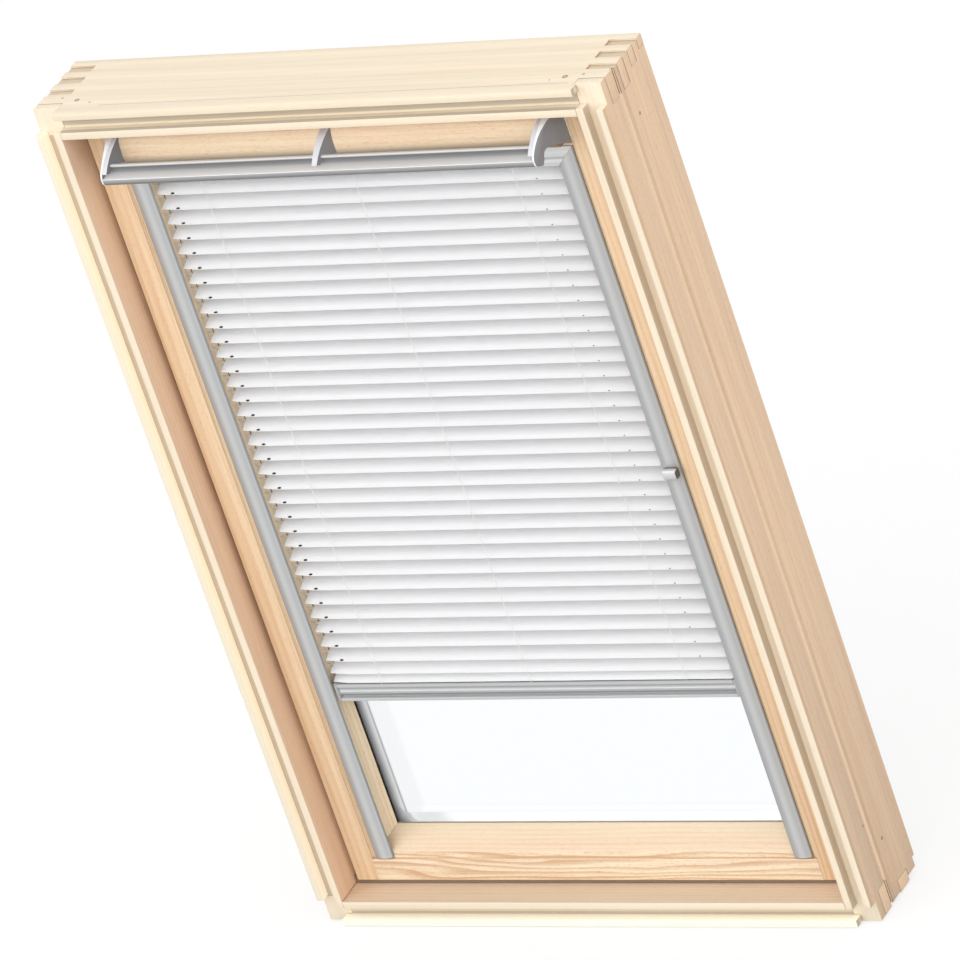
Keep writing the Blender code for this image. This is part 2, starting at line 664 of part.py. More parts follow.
def make_head_rail(white, steel, parts, cutters, sash_axis):
    """A tray between the sash sides, with a wider face plate and a lip along it."""
    half = sash_opening(HEAD_RAIL_BACK) - JOINT_GAP
    face_half = CHANNEL_OUTER - JOINT_GAP
    bottom, top = HEAD_RAIL_BOTTOM, HEAD_RAIL_TOP
    face_back = SASH_FRONT + HEAD_RAIL_FACE
    lip_bottom = bottom + HEAD_RAIL_LIP_RISE
    plate = box((-face_half, SASH_FRONT, bottom), (face_half, face_back, top))
    rail = add_object("blind_head_rail", plate, white, parts, sash_axis)
    combine(rail, box((-half, face_back - HEAD_RAIL_WALL, bottom), (half, HEAD_RAIL_BACK, top)), cutters, "UNION")
    lip = box((-face_half, SASH_FRONT - HEAD_RAIL_LIP, lip_bottom),
              (face_half, face_back - HEAD_RAIL_WALL, lip_bottom + HEAD_RAIL_LIP_HEIGHT))
    combine(rail, lip, cutters, "UNION")
    inside = box((-half + HEAD_RAIL_WALL, face_back, bottom + HEAD_RAIL_WALL),
                 (half - HEAD_RAIL_WALL, HEAD_RAIL_BACK - HEAD_RAIL_WALL, top + REACH))
    combine(rail, inside, cutters)
    rod_place = ((face_back + HEAD_RAIL_BACK) / 2, (bottom + top) / 2)
    combine(rail, cylinder(TILT_ROD_RADIUS + JOINT_GAP, (0.0, *rod_place), 4 * half, 16), cutters)
    end = half + TILT_ROD_END - HEAD_RAIL_WALL
    profile = [(0.0, end), (TILT_ROD_RADIUS, end)]
    for place in sorted(LADDER_PLACES.values(), reverse=True):
        profile += [
            (TILT_ROD_RADIUS, place + TILT_DRUM_HALF),
            (TILT_DRUM_RADIUS, place + TILT_DRUM_HALF),
            (TILT_DRUM_RADIUS, place - TILT_DRUM_HALF),
            (TILT_ROD_RADIUS, place - TILT_DRUM_HALF),
        ]
    profile += [(TILT_ROD_RADIUS, -end), (0.0, -end)]
    rod_axis = add_empty("tilt_rod_axis", (0.0, *rod_place), parts, sash_axis)
    turned("tilt_rod", profile, 16, steel, parts, rod_axis, (0.0, *rod_place))


def slat_height(depth):
    """Height of a slat's middle surface over its front edge: it rises outdoors, with a crown."""
    part = (depth - SLAT_FRONT) / SLAT_DEPTH
    return SLAT_RISE * part + SLAT_CROWN * (1 - abs(2 * part - 1))


def slat_mesh(white):
    """One slat, drawn with its front edge at height 0."""
    middle = SLAT_FRONT + SLAT_DEPTH / 2
    ear = SLAT_EAR_HEIGHT / 2
    half = [
        (SLAT_HALF - SLAT_CORNER_WIDTH, SLAT_FRONT),
        (SLAT_HALF, SLAT_FRONT + SLAT_CORNER_DEPTH),
        (SLAT_HALF, middle - 2 * ear),
        (SLAT_HALF + SLAT_EAR, middle - ear),
        (SLAT_HALF + SLAT_EAR, middle + ear),
        (SLAT_HALF, middle + 2 * ear),
        (SLAT_HALF - SLAT_TAIL / 2, SLAT_BACK - SLAT_TAIL_DEPTH),
        (SLAT_HALF - SLAT_TAIL, SLAT_BACK),
    ]
    outline = half + [(-x, y) for x, y in reversed(half)]
    solid = bmesh.new()
    solid.faces.new([solid.verts.new((x, y, 0.0)) for x, y in outline])
    everything = solid.verts[:] + solid.edges[:] + solid.faces[:]
    bmesh.ops.bisect_plane(solid, geom=everything, plane_co=(0.0, middle, 0.0), plane_no=(0.0, 1.0, 0.0))
    for corner in solid.verts:
        corner.co.z = slat_height(corner.co.y) - SLAT_THICKNESS / 2
    extruded = bmesh.ops.extrude_face_region(solid, geom=solid.faces[:])["geom"]
    moved = [item for item in extruded if isinstance(item, bmesh.types.BMVert)]
    bmesh.ops.translate(solid, verts=moved, vec=(0.0, 0.0, SLAT_THICKNESS))
    bmesh.ops.recalc_face_normals(solid, faces=solid.faces)
    mesh = bpy.data.meshes.new("slat")
    solid.to_mesh(mesh)
    solid.free()
    mesh.materials.append(white)
    return mesh


def make_slats(white, parts, sash_axis):
    """Thirty-three slats, which all share one mesh and hang a pitch apart."""
    mesh = slat_mesh(white)
    for number in range(SLAT_COUNT):
        slat = bpy.data.objects.new(f"slat_{number + 1:02d}", mesh)
        parts.objects.link(slat)
        slat.parent = sash_axis
        slat.location = Vector((0.0, 0.0, FIRST_SLAT - number * SLAT_PITCH)) - world_place(sash_axis)


def make_ladders(cord, parts, cutters, sash_axis):
    """Each ladder is a front and a rear cord with a rung under every slat."""
    front = SLAT_FRONT - LADDER_CLEAR - LADDER_THICKNESS
    back = SLAT_BACK + LADDER_CLEAR + LADDER_THICKNESS
    top = HEAD_RAIL_BOTTOM - JOINT_GAP
    bottom = BOTTOM_RAIL_TOP + JOINT_GAP
    slope = SLAT_RISE / SLAT_DEPTH
    rung_top = -SLAT_THICKNESS / 2 - RUNG_CLEAR
    low_y = front + LADDER_THICKNESS
    high_y = back - LADDER_THICKNESS

    def rung_edge(slat, drop):
        height = FIRST_SLAT - slat * SLAT_PITCH + rung_top - drop
        return [(low_y, height - slope * (SLAT_FRONT - low_y)), (high_y, height + slope * (high_y - SLAT_FRONT))]

    for name, place in LADDER_PLACES.items():
        low_x = place - LADDER_THICKNESS / 2
        high_x = place + LADDER_THICKNESS / 2
        outline = [(front, bottom), (back, bottom), (back, top), (front, top)]
        ladder = add_object(f"ladder_{name}", prism(outline, "X", low_x, high_x), cord, parts, sash_axis)
        windows = bmesh.new()
        upper_edge = [(low_y, top - RUNG_THICKNESS), (high_y, top - RUNG_THICKNESS)]
        for slat in range(SLAT_COUNT):
            lower_edge = rung_edge(slat, 0.0)
            prism(upper_edge + lower_edge[::-1], "X", low_x - REACH, high_x + REACH, windows)
            upper_edge = rung_edge(slat, RUNG_THICKNESS)
        lower_edge = [(low_y, bottom + RUNG_THICKNESS), (high_y, bottom + RUNG_THICKNESS)]
        prism(upper_edge + lower_edge[::-1], "X", low_x - REACH, high_x + REACH, windows)
        combine(ladder, windows, cutters)


def make_bottom_rail(aluminium, parts, cutters, sash_axis):
    """A hollow rail with a recessed line low on its face."""
    half = CHANNEL_INNER - BOTTOM_RAIL_SIDE_GAP
    front = SLAT_FRONT
    back = front + BOTTOM_RAIL_DEPTH
    bottom, top = BOTTOM_RAIL_BOTTOM, BOTTOM_RAIL_TOP
    recess = bottom + BOTTOM_RAIL_LIP
    inset = front + BOTTOM_RAIL_RECESS_DEPTH
    outline = [
        (front, bottom), (front, recess), (inset, recess), (inset, recess + BOTTOM_RAIL_RECESS),
        (front, recess + BOTTOM_RAIL_RECESS), (front, top), (back, top), (back, bottom),
    ]
    rail = add_object("blind_bottom_rail", prism(outline, "X", -half, half), aluminium, parts, sash_axis)
    wall = BOTTOM_RAIL_WALL
    hollow = box((-half - REACH, inset + wall, bottom + wall), (half + REACH, back - wall, top - wall))
    combine(rail, hollow, cutters)


def make_tilt_slider(plastic, parts, sash_axis):
    """The knob that runs on the right channel and turns the tilt rod."""
    height = PIVOT_HEIGHT + SLIDER_ABOVE_PIVOT
    middle = (CHANNEL_INNER + CHANNEL_OUTER) / 2 + SLIDER_OFFSET
    back = CHANNEL_FRONT - JOINT_GAP
    knob = box((middle - SLIDER_WIDTH / 2, back - SLIDER_PROUD, height - SLIDER_HEIGHT / 2),
               (middle + SLIDER_WIDTH / 2, back, height + SLIDER_HEIGHT / 2))
    knob = add_object("tilt_slider", knob, plastic, parts, sash_axis)
    rounding = knob.modifiers.new("rounding", "BEVEL")
    rounding.width = SLIDER_ROUNDING
    rounding.segments = 2
    rounding.limit_method = "ANGLE"


def build():
    clear_scene()
    parts = make_collection("roof_window_with_blind")
    cutters = make_collection("cutters")
    pine = make_material("pine", (0.87, 0.72, 0.50), 0.45)
    glass = make_material("clear_glass", (0.95, 0.97, 0.97), 0.02, transmission=1.0)
    aluminium = make_material("satin_aluminium", (0.55, 0.57, 0.58), 0.38, metallic=0.6)
    plastic = make_material("grey_plastic", (0.36, 0.37, 0.38), 0.5)
    white = make_material("white_lacquer", (0.88, 0.88, 0.88), 0.35)
    steel = make_material("zinc_steel", (0.62, 0.62, 0.60), 0.35, metallic=1.0)
    cord = make_material("white_cord", (0.85, 0.85, 0.84), 0.8)
    spacer_finish = make_material("spacer_grey", (0.30, 0.31, 0.32), 0.4, metallic=0.5)

    make_frame(pine, parts, cutters)
    sash_axis = add_empty("sash_axis", (0.0, PIVOT_DEPTH, PIVOT_HEIGHT), parts)
    make_sash(pine, parts, cutters, sash_axis)
    make_glass(glass, spacer_finish, parts, cutters, sash_axis)
    make_pivots(steel, parts, sash_axis)
    vent_axis = add_empty("vent_axis", (0.0, VENT_AXIS_DEPTH, VENT_AXIS_HEIGHT), parts, sash_axis)
    make_vent(pine, plastic, aluminium, parts, cutters, vent_axis)
    make_channels(aluminium, parts, sash_axis)
    make_head_rail(white, steel, parts, cutters, sash_axis)
    make_slats(white, parts, sash_axis)
    make_ladders(cord, parts, cutters, sash_axis)
    make_bottom_rail(aluminium, parts, cutters, sash_axis)
    make_tilt_slider(plastic, parts, sash_axis)


build()
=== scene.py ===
"""Looks of the pine roof window with its vent bar and white venetian blind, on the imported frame.

Metres, in the part's own frame: X runs across the window, +Z up its slope, +Y outdoors, and the
room is at -Y. The sections follow the window as it is put together.
"""
import math

import bmesh
import bpy
from mathutils import Matrix, Vector


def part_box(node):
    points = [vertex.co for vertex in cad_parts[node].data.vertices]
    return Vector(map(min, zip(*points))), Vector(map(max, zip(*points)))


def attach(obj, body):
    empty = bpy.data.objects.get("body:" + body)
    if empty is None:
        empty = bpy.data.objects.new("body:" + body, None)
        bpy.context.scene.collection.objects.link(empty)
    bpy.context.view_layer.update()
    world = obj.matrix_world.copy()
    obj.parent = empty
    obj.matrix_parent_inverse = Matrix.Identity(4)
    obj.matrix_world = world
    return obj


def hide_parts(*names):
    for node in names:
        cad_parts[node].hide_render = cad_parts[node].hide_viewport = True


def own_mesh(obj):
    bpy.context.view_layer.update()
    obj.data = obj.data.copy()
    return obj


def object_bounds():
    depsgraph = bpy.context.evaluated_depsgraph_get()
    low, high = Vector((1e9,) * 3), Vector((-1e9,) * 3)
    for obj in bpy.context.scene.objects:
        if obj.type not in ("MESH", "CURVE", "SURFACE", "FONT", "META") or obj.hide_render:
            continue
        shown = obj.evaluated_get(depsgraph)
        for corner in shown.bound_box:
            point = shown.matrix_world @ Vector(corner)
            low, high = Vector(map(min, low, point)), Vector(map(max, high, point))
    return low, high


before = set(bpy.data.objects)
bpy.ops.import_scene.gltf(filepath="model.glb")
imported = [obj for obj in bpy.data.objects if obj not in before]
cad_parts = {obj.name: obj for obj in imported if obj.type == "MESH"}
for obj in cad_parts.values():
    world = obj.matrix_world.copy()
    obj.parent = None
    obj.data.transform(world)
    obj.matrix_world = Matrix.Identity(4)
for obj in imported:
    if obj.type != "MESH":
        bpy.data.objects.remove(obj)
cad_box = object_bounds()
scene = bpy.context.scene

# Camera and studio.
# The camera stands to the right of the window, well back, and is rolled so that the window leans.
CAMERA_PLACE = (6.0051, -8.4532, 5.9975)
CAMERA_TURN = (61.245, 17.093, 26.020)
CAMERA_LENS = 366.4
SENSOR_WIDTH = 36.0

lens = bpy.data.cameras.new("camera")
lens.lens = CAMERA_LENS
lens.sensor_width = SENSOR_WIDTH
lens.clip_end = 60.0
camera = bpy.data.objects.new("camera", lens)
camera.location = CAMERA_PLACE
camera.rotation_euler = [math.radians(angle) for angle in CAMERA_TURN]
scene.collection.objects.link(camera)
scene.camera = camera
scene.view_settings.view_transform = "Standard"


def add_node(tree, kind, **values):
    """A shader node with its properties set by name, and its inputs by their socket names."""
    node = tree.nodes.new(kind)
    for name, value in values.items():
        if hasattr(node, name):
            setattr(node, name, value)
        else:
            node.inputs[name.replace("_", " ")].default_value = value
    return node


def arithmetic(tree, operation, first, second=0.0):
    """A maths node on two sockets, or on a socket and a number."""
    node = add_node(tree, "ShaderNodeMath", operation=operation)
    for index, item in enumerate((first, second)):
        if isinstance(item, (int, float)):
            node.inputs[index].default_value = item
        else:
            tree.links.new(item, node.inputs[index])
    return node.outputs[0]


def pick_shader(tree, chooser, otherwise, chosen):
    """A mix of two shaders by a 0 to 1 socket."""
    mix = tree.nodes.new("ShaderNodeMixShader")
    tree.links.new(chooser, mix.inputs["Fac"])
    tree.links.new(otherwise, mix.inputs[1])
    tree.links.new(chosen, mix.inputs[2])
    return mix.outputs[0]


# A pale room lights the window evenly. The camera, mirrors and glass see plain white in its place.
ROOM_LIGHT = 0.68
world = bpy.data.worlds.new("studio")
world.use_nodes = True
scene.world = world
tree = world.node_tree
lit = tree.nodes["Background"]
lit.inputs["Color"].default_value = (1.0, 1.0, 1.0, 1.0)
lit.inputs["Strength"].default_value = ROOM_LIGHT
seen = add_node(tree, "ShaderNodeBackground", Color=(1.0, 1.0, 1.0, 1.0), Strength=1.0)
path = tree.nodes.new("ShaderNodeLightPath")
clear = arithmetic(tree, "MAXIMUM", path.outputs["Is Glossy Ray"], path.outputs["Is Transmission Ray"])
clear = arithmetic(tree, "MAXIMUM", clear, path.outputs["Is Camera Ray"])
tree.links.new(pick_shader(tree, clear, lit.outputs[0], seen.outputs[0]),
               tree.nodes["World Output"].inputs["Surface"])


def add_lamp(name, strength, softness, comes_from):
    """A wide soft lamp that shines from a direction towards the window."""
    light = bpy.data.lights.new(name, "SUN")
    light.energy = strength
    light.angle = math.radians(softness)
    lamp = bpy.data.objects.new(name, light)
    lamp.rotation_euler = Vector(comes_from).to_track_quat("Z", "Y").to_euler()
    scene.collection.objects.link(lamp)


add_lamp("key_lamp", 1.52, 90.0, (-0.22, -0.85, 0.50))
add_lamp("fill_lamp", 0.80, 60.0, (0.9, -0.5, 0.3))

# The floor is a pale sheet under the window, white to the camera but for the window's shadow.
FLOOR_REACH = 14.0
FLOOR_DROP = 0.002
FLOOR_TONE = 0.45
FLOOR_LIFT = 0.74
SHADOW_TONE = 0.28
floor_mesh = bpy.data.meshes.new("floor")
shape = bmesh.new()
bmesh.ops.create_grid(shape, x_segments=1, y_segments=1, size=FLOOR_REACH,
                      matrix=Matrix.Translation((0.0, 0.0, cad_box[0][2] - FLOOR_DROP)))
shape.to_mesh(floor_mesh)
shape.free()
floor_finish = bpy.data.materials.new("floor_paper")
floor_finish.use_nodes = True
tree = floor_finish.node_tree
paper = tree.nodes["Principled BSDF"]
paper.inputs["Base Color"].default_value = (FLOOR_TONE, FLOOR_TONE, FLOOR_TONE, 1.0)
paper.inputs["Roughness"].default_value = 0.9
shadowed = add_node(tree, "ShaderNodeBsdfDiffuse", Color=(SHADOW_TONE, SHADOW_TONE, SHADOW_TONE, 1.0))
lift = add_node(tree, "ShaderNodeEmission", Strength=FLOOR_LIFT)
white = add_node(tree, "ShaderNodeEmission", Strength=1.0)
path = tree.nodes.new("ShaderNodeLightPath")
clear = arithmetic(tree, "MAXIMUM", path.outputs["Is Glossy Ray"], path.outputs["Is Transmission Ray"])
shown = tree.nodes.new("ShaderNodeAddShader")
tree.links.new(shadowed.outputs[0], shown.inputs[0])
tree.links.new(lift.outputs[0], shown.inputs[1])
sheet = pick_shader(tree, path.outputs["Is Camera Ray"], paper.outputs[0], shown.outputs[0])
tree.links.new(pick_shader(tree, clear, sheet, white.outputs[0]),
               tree.nodes["Material Output"].inputs["Surface"])
floor_mesh.materials.append(floor_finish)
floor = bpy.data.objects.new("floor", floor_mesh)
scene.collection.objects.link(floor)

# Pine.
# Knot-free pine, planed and clear lacquered. The rings show as warm lines along each member, the
# fibres as a fine streak, and each board has its own part of the pattern.
RING_WIDTH = 0.0058
BOARD_HEART = (0.31, 0.17, 0.0)
CREASE_SHADE_REACH = 0.0032
CREASE_SHADE_TONE = (0.30, 0.19, 0.11)
NAIL_TONE = (0.22, 0.13, 0.07, 1.0)
LINE_STRENGTH = 0.35


def group_socket(group, name, kind, way="INPUT", value=None):
    """An input or output of a node group, with its usual value if one is given."""
    socket = group.interface.new_socket(name, in_out=way, socket_type=kind)
    if value is not None:
        socket.default_value = value


def scaled(tree, source, factors):
    """A place stretched by a factor along each axis."""
    node = add_node(tree, "ShaderNodeVectorMath", operation="MULTIPLY")
    tree.links.new(source, node.inputs[0])
    node.inputs[1].default_value = factors
    return node.outputs[0]


pine_grain = bpy.data.node_groups.new("pine_grain", "ShaderNodeTree")
group_socket(pine_grain, "Vector", "NodeSocketVector")
group_socket(pine_grain, "Pale", "NodeSocketColor", value=(0.85, 0.70, 0.48, 1.0))
group_socket(pine_grain, "Warm", "NodeSocketColor", value=(0.65, 0.40, 0.18, 1.0))
group_socket(pine_grain, "Contrast", "NodeSocketFloat", value=0.5)
group_socket(pine_grain, "Waver", "NodeSocketFloat", value=0.018)
group_socket(pine_grain, "Rings", "NodeSocketFloat", value=1.0)
group_socket(pine_grain, "Color", "NodeSocketColor", "OUTPUT")
group_socket(pine_grain, "Roughness", "NodeSocketFloat", "OUTPUT")
group_socket(pine_grain, "Height", "NodeSocketFloat", "OUTPUT")
given = pine_grain.nodes.new("NodeGroupInput")
result = pine_grain.nodes.new("NodeGroupOutput")
place = given.outputs["Vector"]


def noise_along(tree, place, stretch, detail, roughness=0.5):
    """Noise stretched along the grain, between 0 and 1."""
    node = add_node(tree, "ShaderNodeTexNoise", Scale=1.0, Detail=detail, Roughness=roughness)
    tree.links.new(scaled(tree, place, stretch), node.inputs["Vector"])
    return node.outputs[0]


waver = noise_along(pine_grain, place, (16.0, 16.0, 2.0), 2.0)
heart = add_node(pine_grain, "ShaderNodeVectorMath", operation="ADD")
pine_grain.links.new(scaled(pine_grain, place, (1.0, 1.0, 0.012)), heart.inputs[0])
heart.inputs[1].default_value = BOARD_HEART
radius = add_node(pine_grain, "ShaderNodeVectorMath", operation="LENGTH")
pine_grain.links.new(heart.outputs[0], radius.inputs[0])
bent = arithmetic(pine_grain, "MULTIPLY", waver, given.outputs["Waver"])
ring = arithmetic(pine_grain, "ADD", radius.outputs["Value"], bent)
ring = arithmetic(pine_grain, "FRACT", arithmetic(pine_grain, "DIVIDE", ring, RING_WIDTH))
late_wood = pine_grain.nodes.new("ShaderNodeValToRGB")
for position, level in ((0.0, 0.15), (0.35, 0.0), (0.78, 0.75), (0.93, 1.0)):
    stop = (late_wood.color_ramp.elements[0] if position == 0.0
            else late_wood.color_ramp.elements.new(position))
    stop.position = position
    stop.color = (level, level, level, 1.0)
late_wood.color_ramp.elements[-1].color = (0.15, 0.15, 0.15, 1.0)
pine_grain.links.new(ring, late_wood.inputs["Fac"])

fibre = noise_along(pine_grain, place, (560.0, 560.0, 18.0), 4.0, 0.65)
patch = noise_along(pine_grain, place, (48.0, 48.0, 2.2), 3.0)
streak = noise_along(pine_grain, place, (260.0, 260.0, 2.6), 3.0)

pore = noise_along(pine_grain, place, (1000.0, 1000.0, 130.0), 2.0)
pore = arithmetic(pine_grain, "MAXIMUM", arithmetic(pine_grain, "SUBTRACT", pore, 0.56), 0.0)
rings = arithmetic(pine_grain, "MULTIPLY", late_wood.outputs["Color"], patch)
rings = arithmetic(pine_grain, "MULTIPLY", rings, given.outputs["Rings"])
depth = arithmetic(pine_grain, "ADD", rings, arithmetic(pine_grain, "MULTIPLY", fibre, 0.90))
depth = arithmetic(pine_grain, "ADD", depth, patch)
depth = arithmetic(pine_grain, "ADD", depth, arithmetic(pine_grain, "MULTIPLY", pore, 4.0))
depth = arithmetic(pine_grain, "ADD", depth, arithmetic(pine_grain, "MULTIPLY", streak, 0.70))
depth = arithmetic(pine_grain, "SUBTRACT", depth, 1.05)
depth = arithmetic(pine_grain, "MULTIPLY", depth, given.outputs["Contrast"])
tone = add_node(pine_grain, "ShaderNodeMix", data_type="RGBA", clamp_factor=True)
pine_grain.links.new(depth, tone.inputs["Factor"])
pine_grain.links.new(given.outputs["Pale"], tone.inputs["A"])
pine_grain.links.new(given.outputs["Warm"], tone.inputs["B"])
pine_grain.links.new(tone.outputs["Result"], result.inputs["Color"])
shine = arithmetic(pine_grain, "MULTIPLY", rings, -0.12)
pine_grain.links.new(arithmetic(pine_grain, "ADD", shine, 0.52), result.inputs["Roughness"])
pine_grain.links.new(arithmetic(pine_grain, "ADD", rings, fibre), result.inputs["Height"])


def mix_colour(tree, factor, first, second):
    """A colour mix; each of its three inputs is a socket or a value."""
    mix = add_node(tree, "ShaderNodeMix", data_type="RGBA", clamp_factor=True)
    for name, item in (("Factor", factor), ("A", first), ("B", second)):
        if isinstance(item, (float, tuple)):
            mix.inputs[name].default_value = item
        else:
            tree.links.new(item, mix.inputs[name])
    return mix.outputs["Result"]


def crease_shade_mask(tree, reach, power=1.4):
    """1 in the narrow corners and gaps, 0 on open faces: a mask for the painted shade that gathers there."""
    shelter = add_node(tree, "ShaderNodeAmbientOcclusion", samples=4, Distance=reach)
    shut = arithmetic(tree, "SUBTRACT", 1.0, shelter.outputs["AO"])
    return arithmetic(tree, "MULTIPLY", arithmetic(tree, "POWER", shut, power), 0.85)


def banded(tree, place, axis, bands):
    """A grey that changes across the piece: bands are places in metres along an axis, with a grey each."""
    parted = tree.nodes.new("ShaderNodeSeparateXYZ")
    tree.links.new(place, parted.inputs[0])
    start, length = bands[0][0], bands[-1][0] - bands[0][0]
    across = arithmetic(tree, "DIVIDE", arithmetic(tree, "SUBTRACT", parted.outputs[axis], start), length)
    tones = tree.nodes.new("ShaderNodeValToRGB")
    for index, (position, grey) in enumerate(bands):
        stop = tones.color_ramp.elements[0 if index == 0 else -1]
        if 0 < index < len(bands) - 1:
            stop = tones.color_ramp.elements.new((position - start) / length)
        stop.position = (position - start) / length
        stop.color = (grey, grey, grey, 1.0)
    tree.links.new(across, tones.inputs["Fac"])
    return tones.outputs["Color"]


def multiplied(tree, first, second):
    """Two colours multiplied."""
    mix = add_node(tree, "ShaderNodeMix", data_type="RGBA", blend_type="MULTIPLY")
    mix.inputs["Factor"].default_value = 1.0
    tree.links.new(first, mix.inputs["A"])
    tree.links.new(second, mix.inputs["B"])
    return mix.outputs["Result"]


def pine_finish(name, along, pale, warm, contrast, board=0.0, crease=CREASE_SHADE_REACH, bands=(), waver=0.018,
                rings=1.0, glow=0.0, nails=(), lines=()):
    """Lacquered pine with its grain along X or Z; board shifts the pattern to another plank."""
    finish = bpy.data.materials.new(name)
    finish.use_nodes = True
    tree = finish.node_tree
    shader = tree.nodes["Principled BSDF"]
    shader.inputs["Coat Weight"].default_value = 0.10
    shader.inputs["Coat Roughness"].default_value = 0.35
    place = tree.nodes.new("ShaderNodeTexCoord").outputs["Object"]
    turn = tree.nodes.new("ShaderNodeMapping")
    turn.inputs["Location"].default_value = (board * 0.37, board * 0.61, board * 1.3)
    if along == "X":
        turn.inputs["Rotation"].default_value = (0.0, math.radians(90.0), 0.0)
    tree.links.new(place, turn.inputs["Vector"])
    grain = tree.nodes.new("ShaderNodeGroup")
    grain.node_tree = pine_grain
    grain.inputs["Pale"].default_value = (*pale, 1.0)
    grain.inputs["Warm"].default_value = (*warm, 1.0)
    grain.inputs["Contrast"].default_value = contrast
    grain.inputs["Waver"].default_value = waver
    grain.inputs["Rings"].default_value = rings
    tree.links.new(turn.outputs["Vector"], grain.inputs["Vector"])
    colour = grain.outputs["Color"]
    for x, y, z, width in nails:
        away = add_node(tree, "ShaderNodeVectorMath", operation="DISTANCE")
        tree.links.new(place, away.inputs[0])
        away.inputs[1].default_value = (x, y, z)
        ring = arithmetic(tree, "DIVIDE", away.outputs["Value"], width)
        ring = arithmetic(tree, "ABSOLUTE", arithmetic(tree, "SUBTRACT", ring, 0.75))
        near = arithmetic(tree, "MULTIPLY", arithmetic(tree, "SUBTRACT", 0.75, ring), 1.3)
        colour = mix_colour(tree, near, colour, NAIL_TONE)
    for depth, start, end in lines:
        parted = tree.nodes.new("ShaderNodeSeparateXYZ")
        tree.links.new(place, parted.inputs[0])
        away = arithmetic(tree, "ABSOLUTE", arithmetic(tree, "SUBTRACT", parted.outputs["Y"], depth))
        near = arithmetic(tree, "MULTIPLY", arithmetic(tree, "LESS_THAN", away, 0.0007), LINE_STRENGTH)
        near = arithmetic(tree, "MULTIPLY", near,
                          arithmetic(tree, "GREATER_THAN", parted.outputs["X"], start))
        near = arithmetic(tree, "MULTIPLY", near, arithmetic(tree, "LESS_THAN", parted.outputs["X"], end))
        colour = mix_colour(tree, near, colour, NAIL_TONE)
    for axis, steps in bands:
        colour = multiplied(tree, colour, banded(tree, place, axis, steps))
    # Painted shade: creases and gaps darken towards a deep brown.
    if crease:
        colour = mix_colour(tree, crease_shade_mask(tree, crease), colour, (*CREASE_SHADE_TONE, 1.0))
    tree.links.new(colour, shader.inputs["Base Color"])
    # Painted light: a glow above nought makes the face shine by itself, lifting it out of its shade.
    tree.links.new(colour, shader.inputs["Emission Color"])
    shader.inputs["Emission Strength"].default_value = glow
    finish.cycles.emission_sampling = "NONE"
    tree.links.new(grain.outputs["Roughness"], shader.inputs["Roughness"])
    bump = add_node(tree, "ShaderNodeBump", Strength=0.14, Distance=0.0003)
    tree.links.new(grain.outputs["Height"], bump.inputs["Height"])
    tree.links.new(bump.outputs["Normal"], shader.inputs["Normal"])
    return finish


# Outer frame.
# Four planed pine members with two proud strips on the room side, cut with box fingers at the ends
# and glued and nailed together at the corners.
# The finishes by name: "groove" and "wall" are the floor and side of the channel between the strips,
# both with painted shade; "lee" the strip walls turned from the lamps, lifted by a painted glow;
# "joint" the glue lines; "inner" and "sill" the reveal, in darker copies of the pine with painted
# shade. "warm" is a deeper copy on the faces across the window, painted shade, and "bright" and
# "strip" are lighter copies, painted light, "bright" with a painted glow as well.
FRAME_FINISHES = ("pale", "warm", "end", "groove", "wall", "joint", "pink", "bright", "sill", "inner",
                  "strip", "lee")
FRAME_EASE = 0.0006
SMOOTH_UP_TO = 30.0
PALE_PINE = (0.95, 0.84, 0.66)
PALE_LINE = (0.86, 0.64, 0.42)
PAINTED_LIGHT_PINE = (1.0, 0.97, 0.82)
LIGHTENED_STRIP_PINE = (0.99, 0.89, 0.70)
SHADED_SIDE_PINE = (0.97, 0.71, 0.48)
SHADED_SIDE_LINE = (0.70, 0.43, 0.25)
SHADED_INNER_PINE = (0.90, 0.65, 0.46)
SHADED_INNER_LINE = (0.72, 0.47, 0.30)
SHADED_SILL_PINE = (0.80, 0.64, 0.47)
SHADED_SILL_LINE = (0.66, 0.46, 0.31)
SHADED_WALL_PINE = (0.64, 0.54, 0.41)
SHADED_WALL_LINE = (0.54, 0.42, 0.29)
SHADED_SHELF_PINE = (0.81, 0.72, 0.58)
END_PINE = (0.75, 0.61, 0.44)
END_LINE = (0.62, 0.46, 0.30)
PINK_PINE = (1.0, 0.80, 0.60)
JOINT_TONE = (0.17, 0.11, 0.06)
# Painted light: the "bright" and "lee" faces glow by themselves.
STRIP_PAINTED_GLOW, LEE_PAINTED_GLOW = 0.12, 0.28
head_box, sill_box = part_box("frame_head"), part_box("frame_sill")
INSIDE_FACE = abs(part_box("frame_side_left")[1][0])
OUTSIDE_FACE = cad_box[1][0]
FRONT_FACE = 0.001
STRIP_INNER_EDGE, STRIP_FOOT, STRIP_TRIM = -0.3805, 0.0285, 0.0090
HEAD_NAILS = ((-0.3374, 0.0190, 1.178, 0.0026), (-0.3614, 0.0254, 1.178, 0.0013),
              (-0.3163, 0.0127, 1.178, 0.0012), (0.3343, 0.0188, 1.178, 0.0030),
              (0.3572, 0.0226, 1.178, 0.0015), (0.3163, 0.0127, 1.178, 0.0010))
HEAD_LINES = ((0.0045, -0.300, 0.345),)
SIDE_NAILS = ((0.390, 0.0590, 1.1019, 0.0018), (0.390, 0.0573, 0.0817, 0.0020),
              (0.390, 0.0264, 0.1208, 0.0014))
